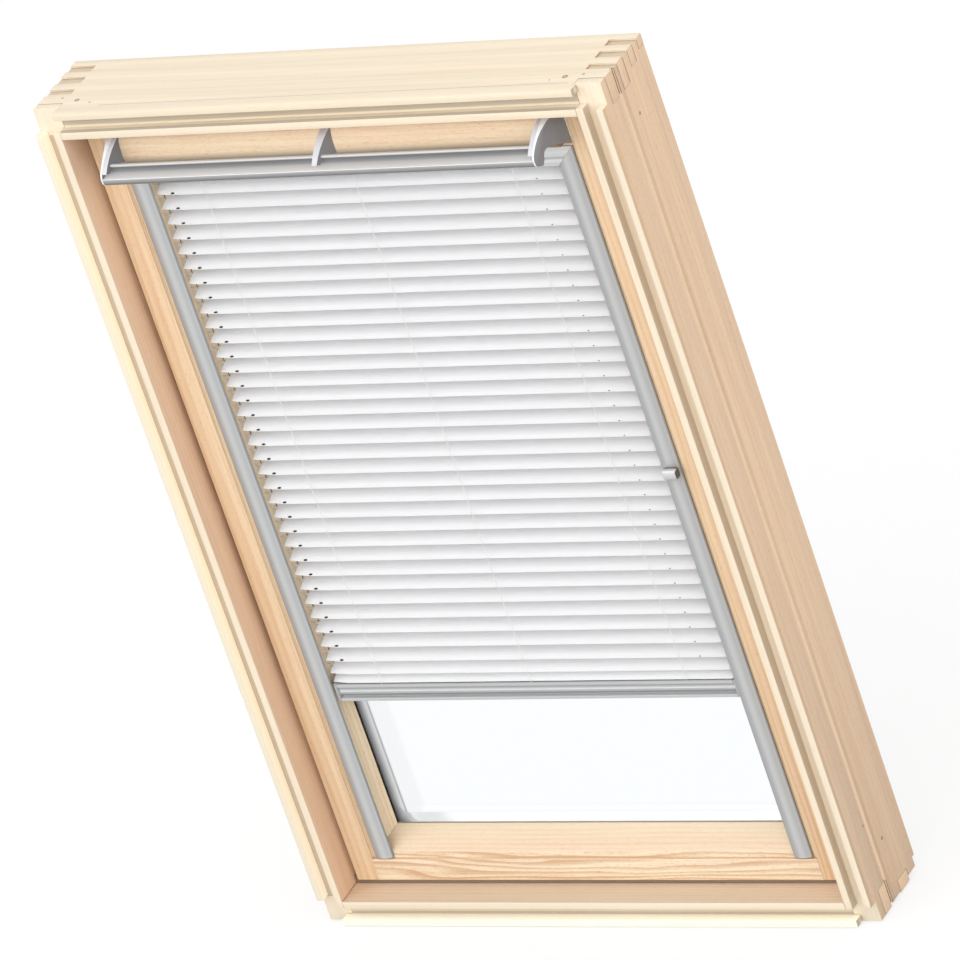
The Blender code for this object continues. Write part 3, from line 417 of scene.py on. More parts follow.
# Bands of painted shade and light: the groove floors darken beside the strips, the strips' tops on the head
# towards the room, the side faces towards the bottom and beside their groove, and the reveal's side faces
# near the sash; the reveal's top and bottom grow lighter towards the sash.
FLOOR_SHADE_BANDS = {
    "frame_side_left": (("X", ((-0.3810, 0.66), (-0.3755, 0.66), (-0.3720, 0.98), (-0.3640, 1.0))),),
    "frame_side_right": (("X", ((0.3640, 1.0), (0.3745, 0.92), (0.3765, 0.55), (0.3812, 0.52))),),
    "frame_head": (("Z", ((1.1522, 0.98), (1.1542, 0.90), (1.1558, 0.60), (1.1700, 0.55))),),
    "frame_sill": (("Z", ((0.0090, 0.50), (0.0128, 0.52), (0.0140, 0.78), (0.0260, 0.80))),)}
SHELF_SHADE_BANDS = (("Y", ((-0.0136, 0.70), (-0.0075, 0.72), (-0.0060, 1.05), (0.0, 1.05))),)
SIDE_SHADE_BANDS = (("Y", ((-0.0136, 0.82), (-0.0090, 0.86), (-0.0060, 1.0), (0.0365, 0.98), (0.0380, 0.82),
                     (0.0430, 0.84), (0.0460, 1.0), (0.1131, 1.02))),
              ("Z", ((0.0, 0.84), (0.1500, 0.87), (0.5000, 0.99), (1.1780, 1.0))))
INNER_SHADE_BANDS = (("Y", ((-0.0136, 0.96), (0.0080, 1.0), (0.0310, 1.06), (0.0345, 0.95), (0.0365, 0.70),
                      (0.0400, 0.70), (0.0410, 1.0))),)
SILL_SHADE_BANDS = (("Y", ((-0.0136, 0.90), (0.0030, 0.93), (0.0140, 1.0), (0.0195, 1.08), (0.0260, 1.22))),)
MARGIN = 0.001
STRIP_FRONT, STRIP_ROOT = -0.0130, 0.0
SIDE_GROOVE, GROOVE_SLOPE = (0.0300, 0.0370), (0.0320, 0.0365)
GROOVE_REACH = 0.004
SHELF_DEPTH = 0.010
FOOT_STRIP_TOP, FOOT_STRIP_FRONT = 0.012, -0.012
JOINT_FRONT, JOINT_BACK = 0.002, 0.111
ROUND_ENDS_FROM = 0.014


def place_piece(shape, name, finishes, body, stands_for=()):
    """Make the finished mesh an object at the origin, and hang it on its body."""
    mesh = bpy.data.meshes.new(name)
    shape.to_mesh(mesh)
    shape.free()
    for finish in finishes:
        mesh.materials.append(finish)
    for face in mesh.polygons:
        face.use_smooth = True
    mesh.set_sharp_from_angle(angle=math.radians(SMOOTH_UP_TO))
    piece = bpy.data.objects.new(name, mesh)
    scene.collection.objects.link(piece)
    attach(piece, body)
    if stands_for:
        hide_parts(*stands_for)
    return piece


def copied(node):
    """The node's own solid with its doubles merged and its flat faces joined."""
    shape = bmesh.new()
    shape.from_mesh(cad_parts[node].data)
    bmesh.ops.remove_doubles(shape, verts=shape.verts, dist=0.00002)
    bmesh.ops.dissolve_limit(shape, angle_limit=math.radians(1.0), verts=shape.verts, edges=shape.edges)
    return shape


def ease(shape, amount, segments=2, edge_finish=None, sharper_than=25.0):
    """Ease the sharp edges as a plane or a mould leaves them, in a finish of their own if one is given."""
    corners = [edge for edge in shape.edges
               if edge.is_manifold and edge.calc_face_angle() > math.radians(sharper_than)]
    eased = bmesh.ops.bevel(shape, geom=corners, offset=amount, offset_type="OFFSET", affect="EDGES",
                            segments=segments, profile=0.5, material=-1, clamp_overlap=True)
    if edge_finish is not None:
        for face in eased["faces"]:
            face.material_index = edge_finish
    return shape


def stain(shape, test, index=1):
    """Give the faces that pass a test on their normal and middle another finish."""
    shape.normal_update()
    for face in shape.faces:
        if test(face.normal, face.calc_center_median()):
            face.material_index = index


def dress(shape, finish, test):
    """Give the faces that pass a test one of the frame's finishes, by its name."""
    stain(shape, test, FRAME_FINISHES.index(finish))


def faces_across(normal):
    """True for a face that looks across the window."""
    return abs(normal.x) > 0.6


def in_corner(middle):
    """True inside the corner blocks, where the uprights meet the head and the sill."""
    return abs(middle.x) > INSIDE_FACE and (middle.z > head_box[0][2] or middle.z < sill_box[1][2])


for number, node in enumerate(("frame_side_left", "frame_side_right", "frame_head", "frame_sill")):
    upright = "side" in node
    along = "Z" if upright else "X"
    member = copied(node)
    # The left outer strip stops a little short of the sill.
    for corner in member.verts:
        if (node == "frame_side_left" and corner.co.x < STRIP_INNER_EDGE
                and abs(corner.co.z - STRIP_FOOT) < 0.0002):
            corner.co.z += STRIP_TRIM
    ease(member, FRAME_EASE, edge_finish=FRAME_FINISHES.index("pale"))
    if upright:
        # The faces are parted at the corner blocks, which have finishes of their own.
        for height in (sill_box[1][2], head_box[0][2]):
            everything = member.verts[:] + member.edges[:] + member.faces[:]
            bmesh.ops.bisect_plane(member, geom=everything, plane_co=(0.0, 0.0, height),
                                   plane_no=(0.0, 0.0, 1.0))
        dress(member, "warm", lambda normal, middle: faces_across(normal))
        dress(member, "inner", lambda normal, middle: faces_across(normal)
              and abs(middle.x) < INSIDE_FACE + MARGIN)
        dress(member, "end", lambda normal, middle: abs(normal.z) > 0.8 and middle.y > ROUND_ENDS_FROM)
        dress(member, "wall", lambda normal, middle: normal.x > 0.6 and STRIP_FRONT < middle.y < STRIP_ROOT
              and INSIDE_FACE + MARGIN < middle.x < OUTSIDE_FACE - MARGIN)
        dress(member, "strip", lambda normal, middle: middle.x < STRIP_INNER_EDGE + 0.0008
              and middle.y < -FRAME_EASE and normal.x > -0.9)
        dress(member, "lee", lambda normal, middle: normal.x > 0.6 and STRIP_FRONT < middle.y < STRIP_ROOT
              and middle.x < -INSIDE_FACE - MARGIN)
        dress(member, "pink", lambda normal, middle: normal.y < -0.5
              and GROOVE_SLOPE[0] < middle.y < GROOVE_SLOPE[1]
              and abs(middle.x) > OUTSIDE_FACE - GROOVE_REACH)
        dress(member, "pink", lambda normal, middle: faces_across(normal)
              and SIDE_GROOVE[0] < middle.y < SIDE_GROOVE[1] and abs(middle.x) < OUTSIDE_FACE - MARGIN)
    else:
        dress(member, "sill", lambda normal, middle: abs(normal.z) > 0.6
              and abs(middle.x) < INSIDE_FACE + MARGIN
              and sill_box[1][2] - MARGIN < middle.z < head_box[0][2] + MARGIN)
        dress(member, "wall", lambda normal, middle: normal.z > 0.6 and middle.y < FRONT_FACE
              and head_box[0][2] < middle.z < head_box[1][2] - MARGIN)
        dress(member, "bright", lambda normal, middle: normal.z > 0.6 and middle.y < FRONT_FACE
              and middle.z < sill_box[1][2] - SHELF_DEPTH)
        dress(member, "bright", lambda normal, middle: normal.y < -0.8 and middle.y < FOOT_STRIP_FRONT
              and middle.z < FOOT_STRIP_TOP)
        dress(member, "end", lambda normal, middle: abs(normal.x) > 0.8)
        dress(member, "wall", lambda normal, middle: abs(normal.x) > 0.8 and middle.y < STRIP_ROOT)
    dress(member, "groove", lambda normal, middle: normal.y < -0.8 and abs(middle.y) < FRONT_FACE
          and not (upright and in_corner(middle)))
    dress(member, "joint", lambda normal, middle: 0.3 < abs(normal.y) < 0.95
          and JOINT_FRONT < middle.y < JOINT_BACK and in_corner(middle))
    at_head, at_right = node == "frame_head", node == "frame_side_right"
    end_pine, end_line = (END_PINE, END_LINE) if upright else (SHADED_SIDE_PINE, SHADED_SIDE_LINE)
    # Apart from "pale", "end" and "joint", most of these are copies of the pine painted lighter or darker for
    # how the light falls on their faces.
    finishes = [pine_finish(f"{node}_pale", along, PALE_PINE, PALE_LINE, 0.38, number,
                            nails=HEAD_NAILS if at_head else (), lines=HEAD_LINES if at_head else ()),
                pine_finish(f"{node}_warm", along, SHADED_SIDE_PINE, SHADED_SIDE_LINE, 0.70, number, bands=SIDE_SHADE_BANDS,
                            rings=0.3, nails=SIDE_NAILS if at_right else ()),
                pine_finish(f"{node}_end", "Z", end_pine, end_line, 0.6, number, rings=0.4),
                pine_finish(f"{node}_groove", along, PALE_PINE, PALE_LINE, 0.40, number, crease=0.0,
                            bands=FLOOR_SHADE_BANDS[node]),
                pine_finish(f"{node}_wall", along, SHADED_WALL_PINE if upright else SHADED_SHELF_PINE, SHADED_WALL_LINE, 0.40,
                            number, crease=0.0, bands=() if upright else SHELF_SHADE_BANDS),
                pine_finish(f"{node}_joint", along, JOINT_TONE, JOINT_TONE, 0.3, number, crease=0.0),
                pine_finish(f"{node}_pink", along, PINK_PINE, SHADED_SIDE_PINE, 0.4, number, crease=0.0),
                pine_finish(f"{node}_bright", along, PAINTED_LIGHT_PINE, PALE_PINE, 0.4, number, crease=0.0,
                            glow=STRIP_PAINTED_GLOW),
                pine_finish(f"{node}_sill", along, SHADED_SILL_PINE, SHADED_SILL_LINE, 0.5, number, bands=SILL_SHADE_BANDS),
                pine_finish(f"{node}_inner", along, SHADED_INNER_PINE, SHADED_INNER_LINE, 0.5, number, bands=INNER_SHADE_BANDS),
                pine_finish(f"{node}_strip", along, LIGHTENED_STRIP_PINE, PALE_PINE, 0.5, number, crease=0.0),
                pine_finish(f"{node}_lee", along, LIGHTENED_STRIP_PINE, PALE_PINE, 0.5, number, crease=0.0,
                            glow=LEE_PAINTED_GLOW)]
    place_piece(member, f"{node}_member", finishes, "frame", [node])

# Sash.
# Two full-length stiles and two rails of warmer pine, with a step and a bevel down to the glass. The
# eased edges, of the step and the bevel too, are painted paler as a highlight, and the bevels have a
# tone of their own, lightened on the stiles as painted light against their shade.
SASH_PINE = (0.92, 0.71, 0.47)
SASH_LINE = (0.74, 0.44, 0.24)
SASH_EDGE_HIGHLIGHT = (0.97, 0.84, 0.62)
RAIL_PINE = (1.0, 0.87, 0.65)
RAIL_LINE = (0.70, 0.44, 0.26)
BEVEL_PINE = (0.86, 0.71, 0.52)
LIGHTENED_SIDE_BEVEL_PINE = (1.0, 0.86, 0.63)
SASH_EASE = 0.0009
BEVEL_FROM = 0.026
SASH_BOARD = 5
for number, (node, along) in enumerate((("sash_side_left", "Z"), ("sash_side_right", "Z"),
                                        ("sash_bottom_rail", "X"), ("sash_top_rail", "X"))):
    member = ease(copied(node), SASH_EASE, edge_finish=1)
    pine, line, waver = (SASH_PINE, SASH_LINE, 0.018) if along == "Z" else (RAIL_PINE, RAIL_LINE, 0.060)
    contrast, rings = (0.75, 1.0) if along == "Z" else (0.9, 1.5)
    board = SASH_BOARD + number
    stain(member, lambda normal, middle: middle.y > BEVEL_FROM and (normal.z > 0.3 or abs(normal.x) > 0.5), 2)
    # The edge finish is a painted highlight; the stiles' lightened bevel finish is painted light.
    finishes = [pine_finish(f"{node}_pine", along, pine, line, contrast, board, waver=waver, rings=rings),
                pine_finish(f"{node}_edge", along, SASH_EDGE_HIGHLIGHT, SASH_PINE, 0.4, board),
                pine_finish(f"{node}_bevel", along, BEVEL_PINE if along == "X" else LIGHTENED_SIDE_BEVEL_PINE,
                            SASH_LINE, 0.5, board, crease=0.0008)]
    place_piece(member, f"{node}_member", finishes, "sash", [node])

# Glass unit.
# Two panes with a spacer between them, black where it is sealed and pale bare aluminium behind, with
# a ramp of painted shade between the two on its sides, and a thin aluminium lining round the opening
# outside. The unit is glued into the sash.
def plain_finish(name, colour, roughness, metallic=0.0, speckle=0.0, speckle_size=0.002, along=None):
    """A finish whose tone and roughness vary finely over the surface, drawn out along one axis if given."""
    finish = bpy.data.materials.new(name)
    finish.use_nodes = True
    tree = finish.node_tree
    shader = tree.nodes["Principled BSDF"]
    shader.inputs["Metallic"].default_value = metallic
    place = tree.nodes.new("ShaderNodeTexCoord")
    fine = 1.0 / speckle_size
    stretch = [fine * (0.02 if axis == along else 1.0) for axis in "XYZ"]
    cloud = noise_along(tree, place.outputs["Object"], stretch, 3.0)
    darker = (*[channel * (1.0 - speckle) for channel in colour], 1.0)
    lighter = (*[min(1.0, channel * (1.0 + speckle)) for channel in colour], 1.0)
    tree.links.new(mix_colour(tree, cloud, darker, lighter), shader.inputs["Base Color"])
    rough = arithmetic(tree, "MULTIPLY", cloud, 0.12)
    tree.links.new(arithmetic(tree, "ADD", rough, roughness - 0.06), shader.inputs["Roughness"])
    return finish


glass = bpy.data.materials.new("float_glass")
glass.use_nodes = True
shader = glass.node_tree.nodes["Principled BSDF"]
shader.inputs["Base Color"].default_value = (0.985, 0.995, 1.0, 1.0)
shader.inputs["Roughness"].default_value = 0.0
shader.inputs["IOR"].default_value = 1.45
shader.inputs["Transmission Weight"].default_value = 1.0
tree = glass.node_tree
through = add_node(tree, "ShaderNodeBsdfTransparent", Color=(0.97, 0.98, 0.98, 1.0))
path = tree.nodes.new("ShaderNodeLightPath")
tree.links.new(pick_shader(tree, path.outputs["Is Shadow Ray"], shader.outputs[0], through.outputs[0]),
               tree.nodes["Material Output"].inputs["Surface"])
for node in ("glass_inner_pane", "glass_outer_pane"):
    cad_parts[node].data.materials.clear()
    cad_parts[node].data.materials.append(glass)

PANE_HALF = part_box("glass_inner_pane")[1][0]
PANE_BOTTOM, PANE_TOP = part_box("glass_inner_pane")[0][2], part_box("glass_inner_pane")[1][2]
SPACER_FRONT, SPACER_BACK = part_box("glass_spacer")[0][1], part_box("glass_spacer")[1][1]
GLASS_BITE = 0.0120
LINING = 0.0004


def ring_of(outer, inner, start, end, taper=0.0):
    """A rectangular ring, given its outer and inner corners across and up, run along the depth."""
    shape = bmesh.new()
    loops = []
    for low, high in (outer, inner):
        corners = [shape.verts.new((x, start, z)) for x, z in
                   ((low[0], low[1]), (high[0], low[1]), (high[0], high[1]), (low[0], high[1]))]
        loops += [shape.edges.new((corners[step], corners[step - 1])) for step in range(4)]
    bmesh.ops.bridge_loops(shape, edges=loops)
    run = bmesh.ops.extrude_face_region(shape, geom=shape.faces[:])["geom"]
    run = [item for item in run if isinstance(item, bmesh.types.BMVert)]
    bmesh.ops.translate(shape, verts=run, vec=(0.0, end - start, 0.0))
    middle = (outer[0][1] + outer[1][1]) / 2
    for corner in run:
        if abs(corner.co.x) < outer[1][0] - 0.0001:
            corner.co.x -= math.copysign(taper, corner.co.x)
            corner.co.z -= math.copysign(taper, corner.co.z - middle)
    bmesh.ops.recalc_face_normals(shape, faces=shape.faces)
    return shape


def banded_finish(name, axis, bands, roughness, metallic=0.0, tint=(1.0, 1.0, 1.01)):
    """A finish whose tone changes across the piece, with fine lines along it."""
    finish = bpy.data.materials.new(name)
    finish.use_nodes = True
    tree = finish.node_tree
    shader = tree.nodes["Principled BSDF"]
    shader.inputs["Metallic"].default_value = metallic
    place = tree.nodes.new("ShaderNodeTexCoord").outputs["Object"]
    cloud = noise_along(tree, place, [10.0 if run == "XZ"[axis == "X"] else 700.0 for run in "XYZ"], 3.0)
    fleck = mix_colour(tree, cloud, (*[channel * 0.91 for channel in tint], 1.0), (*tint, 1.0))
    shade = multiplied(tree, banded(tree, place, axis, bands), fleck)
    tree.links.new(shade, shader.inputs["Base Color"])
    rough = arithmetic(tree, "MULTIPLY", cloud, 0.1)
    tree.links.new(arithmetic(tree, "ADD", rough, roughness - 0.05), shader.inputs["Roughness"])
    return finish


GLASS_TAPER = 0.0034
HALFWAY_UP = 0.5
HAIR = 0.0001
opening = PANE_HALF - GLASS_BITE + HAIR
sill_of_glass = PANE_BOTTOM + GLASS_BITE - HAIR
spacer = ring_of(((-PANE_HALF, PANE_BOTTOM), (PANE_HALF, PANE_TOP)),
                 ((-opening, sill_of_glass), (opening, PANE_TOP - GLASS_BITE)),
                 SPACER_FRONT, SPACER_BACK, GLASS_TAPER)
stain(spacer, lambda normal, middle: normal.z > 0.5 and middle.z < HALFWAY_UP)
stain(spacer, lambda normal, middle: normal.y < -0.5 and middle.z < sill_of_glass, 2)
# Painted shade: on the spacer's sides the black of the seal runs up through greys to pale metal.
sealed_edge_shade = banded_finish("sealed_edge_shade", "Y", ((SPACER_FRONT, 0.02), (0.0604, 0.17), (0.0643, 0.37),
                                             (0.0682, 0.63), (0.0720, 0.86), (SPACER_BACK, 0.96)), 0.3, 0.9)
bright_spacer = plain_finish("bright_spacer", (0.97, 0.98, 0.99), 0.2, metallic=1.0, speckle=0.02)
pale_seal = plain_finish("pale_seal", (0.66, 0.60, 0.52), 0.5, speckle=0.1)
place_piece(spacer, "spacer_bar", [sealed_edge_shade, bright_spacer, pale_seal], "sash",
            ["glass_spacer"])
lining = ring_of(((-opening - LINING, sill_of_glass - LINING),
                  (opening + LINING, PANE_TOP - GLASS_BITE + LINING)),
                 ((-opening + LINING, sill_of_glass + LINING),
                  (opening - LINING, PANE_TOP - GLASS_BITE - LINING)),
                 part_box("glass_outer_pane")[1][1] + 0.0002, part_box("sash_bottom_rail")[1][1])
stain(lining, lambda normal, middle: normal.z > 0.5 and middle.z < HALFWAY_UP)
lining_grey = banded_finish("lining_grey", "Y", ((0.0780, 0.85), (0.0800, 0.75), (0.0815, 0.50),
                                                 (0.0828, 0.55), (0.0842, 0.97), (0.0863, 1.0)), 0.3, 0.9)
place_piece(lining, "outer_lining", [lining_grey, bright_spacer], "sash")

# Rubber seals.
# Brown rubber strips along the sash's foot and sides, pressed into the wood. They close the gap to
# the frame when the sash is shut, and their dark brown also paints the shade in that gap.
SEAL_DEPTH, SIDE_SEAL_DEPTH, SEAL_WIDTH = 0.0290, 0.0365, 0.0030
SEAL_GAP = 0.0006
SEAL_BITE = 0.0010
SEAL_TOP = 1.1400


def box_shape(low, high):
    """A plain box between two corners."""
    shape = bmesh.new()
    corners = bmesh.ops.create_cube(shape, size=1.0)["verts"]
    bmesh.ops.scale(shape, verts=corners, vec=Vector(high) - Vector(low))
    bmesh.ops.translate(shape, verts=corners, vec=(Vector(high) + Vector(low)) / 2)
    return shape


# The seals' dark brown is partly their own and partly painted shade for the gap to the frame.
seal_rubber_gap_shade = plain_finish("seal_rubber_gap_shade", (0.26, 0.20, 0.15), 0.8, speckle=0.2)
seal_reach = INSIDE_FACE - SEAL_GAP
sash_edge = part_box("sash_side_right")[1][0] - SEAL_BITE
seal_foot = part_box("sash_bottom_rail")[0][2] + SEAL_BITE
for name, depth, low, high in (
        ("seal_bottom", SEAL_DEPTH, (-seal_reach, sill_box[1][2] + SEAL_GAP), (seal_reach, seal_foot)),
        ("seal_left", SIDE_SEAL_DEPTH, (-seal_reach, seal_foot), (-sash_edge, SEAL_TOP)),
        ("seal_right", SIDE_SEAL_DEPTH, (sash_edge, seal_foot), (seal_reach, SEAL_TOP))):
    seal = box_shape((low[0], depth, low[1]), (high[0], depth + SEAL_WIDTH, high[1]))
    place_piece(seal, name, [seal_rubber_gap_shade], "sash")

# Pivots and tilt rod.
# Zinc-plated steel. The pivots carry the sash between its stiles and the frame, and the rod lies
# in the blind's head rail.
zinc = plain_finish("zinc_plate", (0.62, 0.62, 0.60), 0.35, metallic=1.0, speckle=0.2)
for node in ("pivot_left", "pivot_right", "tilt_rod"):
    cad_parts[node].data.materials.clear()
    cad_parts[node].data.materials.append(zinc)

# Vent flap.
# A rounded pine batten, lacquered like the sash, with its grain along its length. It hangs over the
# vent slot and swings with the bar.
FLAP_EASE = 0.0008
# Painted shade: the batten darkens towards its foot, above the bar's lip, and a wide crease reach darkens its
# corners.
FLAP_SHADE_BANDS = ((1.0880, 0.28), (1.0985, 0.33), (1.1020, 0.60), (1.1050, 0.80), (1.1080, 0.93), (1.1150, 1.0),
              (1.1365, 1.0))
flap_pine = pine_finish("flap_pine", "X", (0.94, 0.76, 0.53), (0.80, 0.50, 0.31), 1.0, 11, crease=0.006,
                        rings=0.5, bands=(("Z", FLAP_SHADE_BANDS),))


def casts_no_shade(piece):
    """Keep a piece in front of the blind from dimming it: the lamps and the room shine past it."""
    piece.visible_shadow = False
    piece.visible_diffuse = False


casts_no_shade(place_piece(ease(copied("vent_flap"), FLAP_EASE), "vent_flap_batten", [flap_pine], "vent",
                           ["vent_flap"]))

# Control bar.
# An anodised aluminium extrusion with a nose towards the room and a lip along its rear edge. It
# opens the flap and then pulls the sash.
BAR_END_INSET = 0.0006
METAL_EASE = 0.0003
BAR_LIP_FROM, BAR_FACE_UP_TO = 1.1100, 1.1028
BAR_SECTION = ((-0.0440, 1.1030), (-0.0437, 1.1000), (-0.0430, 1.0968), (-0.0406, 1.0940), (-0.0345, 1.0905),
               (-0.0290, 1.0885), (-0.0255, 1.0900), (-0.0240, 1.0940), (-0.0240, 1.1126), (-0.0247, 1.1134),
               (-0.0278, 1.1134), (-0.0286, 1.1126), (-0.0286, 1.1116), (-0.0278, 1.1108), (-0.0280, 1.1075),
               (-0.0305, 1.1052), (-0.0350, 1.1037), (-0.0400, 1.1031))


def prism(outline, along, start, end):
    """A flat outline, given by its other two coordinates in order, run along an axis."""
    shape = bmesh.new()
    index = "XYZ".index(along)
    corners = []
    for pair in outline:
        spot = list(pair)
        spot.insert(index, start)
        corners.append(shape.verts.new(spot))
    travel = Vector((0.0, 0.0, 0.0))
    travel[index] = end - start
    run = bmesh.ops.extrude_face_region(shape, geom=[shape.faces.new(corners)])["geom"]
    bmesh.ops.translate(shape, verts=[item for item in run if isinstance(item, bmesh.types.BMVert)],
                        vec=travel)
    bmesh.ops.recalc_face_normals(shape, faces=shape.faces)
    return shape


bar_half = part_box("control_bar")[1][0] - BAR_END_INSET
bar = ease(prism(BAR_SECTION, "X", -bar_half, bar_half), METAL_EASE, 1, sharper_than=60.0)
stain(bar, lambda normal, middle: middle.z > BAR_LIP_FROM and (normal.z > 0.3 or normal.y < -0.3))
stain(bar, lambda normal, middle: middle.z < BAR_FACE_UP_TO, 2)
# Painted shade: the top runs from light at the nose to dark under the lip, and the face from light under the
# nose to dark at its foot.
bar_top_shade = banded_finish("bar_top_shade", "Y", ((-0.0440, 1.0), (-0.0425, 0.90), (-0.0395, 0.78), (-0.0360, 0.66),
                                         (-0.0320, 0.46), (-0.0290, 0.20), (-0.0240, 0.14)), 0.38, 0.15)
bar_lip = plain_finish("bar_lip", (0.66, 0.65, 0.64), 0.35, metallic=0.1, speckle=0.03, along="X")
bar_face_shade = banded_finish("bar_face_shade", "Z", ((1.0885, 0.06), (1.0940, 0.09), (1.0975, 0.28), (1.1020, 0.50),
                                           (1.1030, 0.58)), 0.38, 0.15)
casts_no_shade(place_piece(bar, "control_bar_profile", [bar_top_shade, bar_lip, bar_face_shade], "vent",
                           ["control_bar"]))

# Vent brackets.
# Grey mouldings screwed to the flap: a silver strip follows each arm down to the bar, and the end
# ones close the bar's ends with a thin cap.
ARM_TIP = Vector((0.0, -0.0415, 1.1086))
TIP_UNDERCUT = Vector((0.0, -0.447, -0.894))
CAP_START = 0.2958
ARM_EASE, END_CAP_EASE = 0.0006, 0.0005


def cut_away(shape, place, outward):
    """Cut a solid with a plane, take off the side that the plane's normal points to, and close it."""
    everything = shape.verts[:] + shape.edges[:] + shape.faces[:]
    cut = bmesh.ops.bisect_plane(shape, geom=everything, plane_co=place, plane_no=outward, clear_outer=True)
    rim = [item for item in cut["geom_cut"] if isinstance(item, bmesh.types.BMEdge)]
    bmesh.ops.triangle_fill(shape, edges=rim, use_dissolve=True)
    bmesh.ops.recalc_face_normals(shape, faces=shape.faces)
    return shape


# Painted shade: the same grey moulding is darker on the left bracket and lighter on the middle and right
# ones. The eased edges, and the caps' fronts, are near white: a painted highlight.
bracket_shade_greys = {"vent_bracket_left": (0.190, 0.202, 0.228), "vent_bracket_middle": (0.235, 0.245, 0.265),
                 "vent_bracket_right": (0.265, 0.275, 0.295)}
strip_silver = plain_finish("strip_silver", (0.66, 0.66, 0.70), 0.35, metallic=0.1, speckle=0.03)
edge_highlight_silver = plain_finish("edge_highlight_silver", (0.93, 0.93, 0.95), 0.35, metallic=0.1, speckle=0.03)
for side, node in ((-1, "vent_bracket_left"), (0, "vent_bracket_middle"), (1, "vent_bracket_right")):
    bracket_grey = plain_finish(f"{node}_grey", bracket_shade_greys[node], 0.45, speckle=0.05)
    arm = cut_away(copied(node), ARM_TIP, TIP_UNDERCUT)
    if side:
        cut_away(arm, (side * CAP_START, 0.0, 0.0), (side, 0.0, 0.0))
    ease(arm, ARM_EASE, 1, edge_finish=2, sharper_than=40.0)
    stain(arm, lambda normal, middle: abs(normal.x) < 0.5 and normal.y < -0.25)
    piece = place_piece(arm, f"{node}_arm", [bracket_grey, strip_silver, edge_highlight_silver], "vent",
                        [node])
    casts_no_shade(piece)
    if side:
        cap = cut_away(copied(node), (side * CAP_START, 0.0, 0.0), (-side, 0.0, 0.0))
        ease(cap, END_CAP_EASE, 1, edge_finish=2, sharper_than=40.0)
        stain(cap, lambda normal, middle: abs(normal.x) < 0.5 and normal.y < -0.25, 2)
        place_piece(cap, f"{node}_cap", [bracket_grey, strip_silver, edge_highlight_silver], "vent")

# Blind: side channels.
# Grey lacquered aluminium, bent to a shallow arch. They stand on the sash's step, hide the ends of
# the slats, and meet the head rail in a mitre.
ALUMINIUM_TINT = (0.975, 0.995, 1.0)
CHANNEL_WALL = 0.0013
CHANNEL_RISE = 0.0030
channel_low, channel_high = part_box("side_channel_right")
channel_inner, channel_outer = channel_low[0], channel_high[0]
rail_bottom, rail_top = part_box("blind_head_rail")[0][2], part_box("blind_head_rail")[1][2]
MITRE_NORMAL = Vector((rail_bottom - rail_top, 0.0, channel_outer - channel_inner)).normalized()


def arch_points(start, end, rise, steps=14):
    """Points on a shallow curve between two places across, which stands out by rise in its middle."""
    points = []
    for step in range(steps + 1):
        part = step / steps
        hump = math.sin(math.pi * part) ** 0.8
        points.append((start[0] + (end[0] - start[0]) * part,
                       start[1] + (end[1] - start[1]) * part - rise * hump))
    return points


# Painted shade and highlight: across each channel the grey is darkest at its edges and lightest about halfway
# in, as the light falls on its arch.
CHANNEL_SHADING_BANDS = ((0.0, 0.36), (0.0035, 0.44), (0.0060, 0.45), (0.0090, 0.54), (0.0125, 0.62), (0.0160, 0.59),
                 (0.0200, 0.51), (0.0236, 0.56), (0.0243, 0.34), (0.0254, 0.32))
edge = channel_low[1] + CHANNEL_RISE
for side, node in ((-1, "side_channel_left"), (1, "side_channel_right")):
    outline = [(channel_outer, channel_high[1])]
    outline += arch_points((channel_outer, edge), (channel_inner, edge), CHANNEL_RISE)
    outline += [(channel_inner, channel_high[1])]
    outline += arch_points((channel_inner + CHANNEL_WALL, edge + CHANNEL_WALL),
                           (channel_outer - CHANNEL_WALL, edge + CHANNEL_WALL), CHANNEL_RISE)
    channel = prism([(side * across, depth) for across, depth in outline], "Z", channel_low[2], rail_top)
    mitre = Vector((side * MITRE_NORMAL.x, 0.0, MITRE_NORMAL.z))
    channel = cut_away(channel, (side * channel_inner, 0.0, rail_bottom), mitre)
    start = channel_inner if side > 0 else -channel_outer
    channel_grey = banded_finish(f"{node}_grey", "X",
                                 [(start + across, grey) for across, grey in CHANNEL_SHADING_BANDS],
                                 0.36, 0.15, tint=ALUMINIUM_TINT)
    place_piece(ease(channel, METAL_EASE, 1, sharper_than=50.0), f"{node}_profile", [channel_grey], "sash",
                [node])

# Blind: head rail.
# A folded steel tray, open at the top, behind a ribbed aluminium face. The face is mitred into the
# side channels.
FACE_BACK = 0.0262
TRAY_EASE = 0.0004
FACE_SECTION = ((FACE_BACK, rail_top), (0.0246, rail_top), (0.0232, rail_top - 0.0010),
                (0.0222, rail_top - 0.0075), (0.0208, rail_top - 0.0092), (0.0204, rail_top - 0.0110),
                (0.0208, rail_top - 0.0136), (0.0226, rail_top - 0.0146), (0.0229, rail_top - 0.0165),
                (0.0219, rail_top - 0.0185), (0.0216, rail_top - 0.0235), (0.0224, rail_top - 0.0254),
                (0.0240, rail_bottom), (FACE_BACK, rail_bottom))
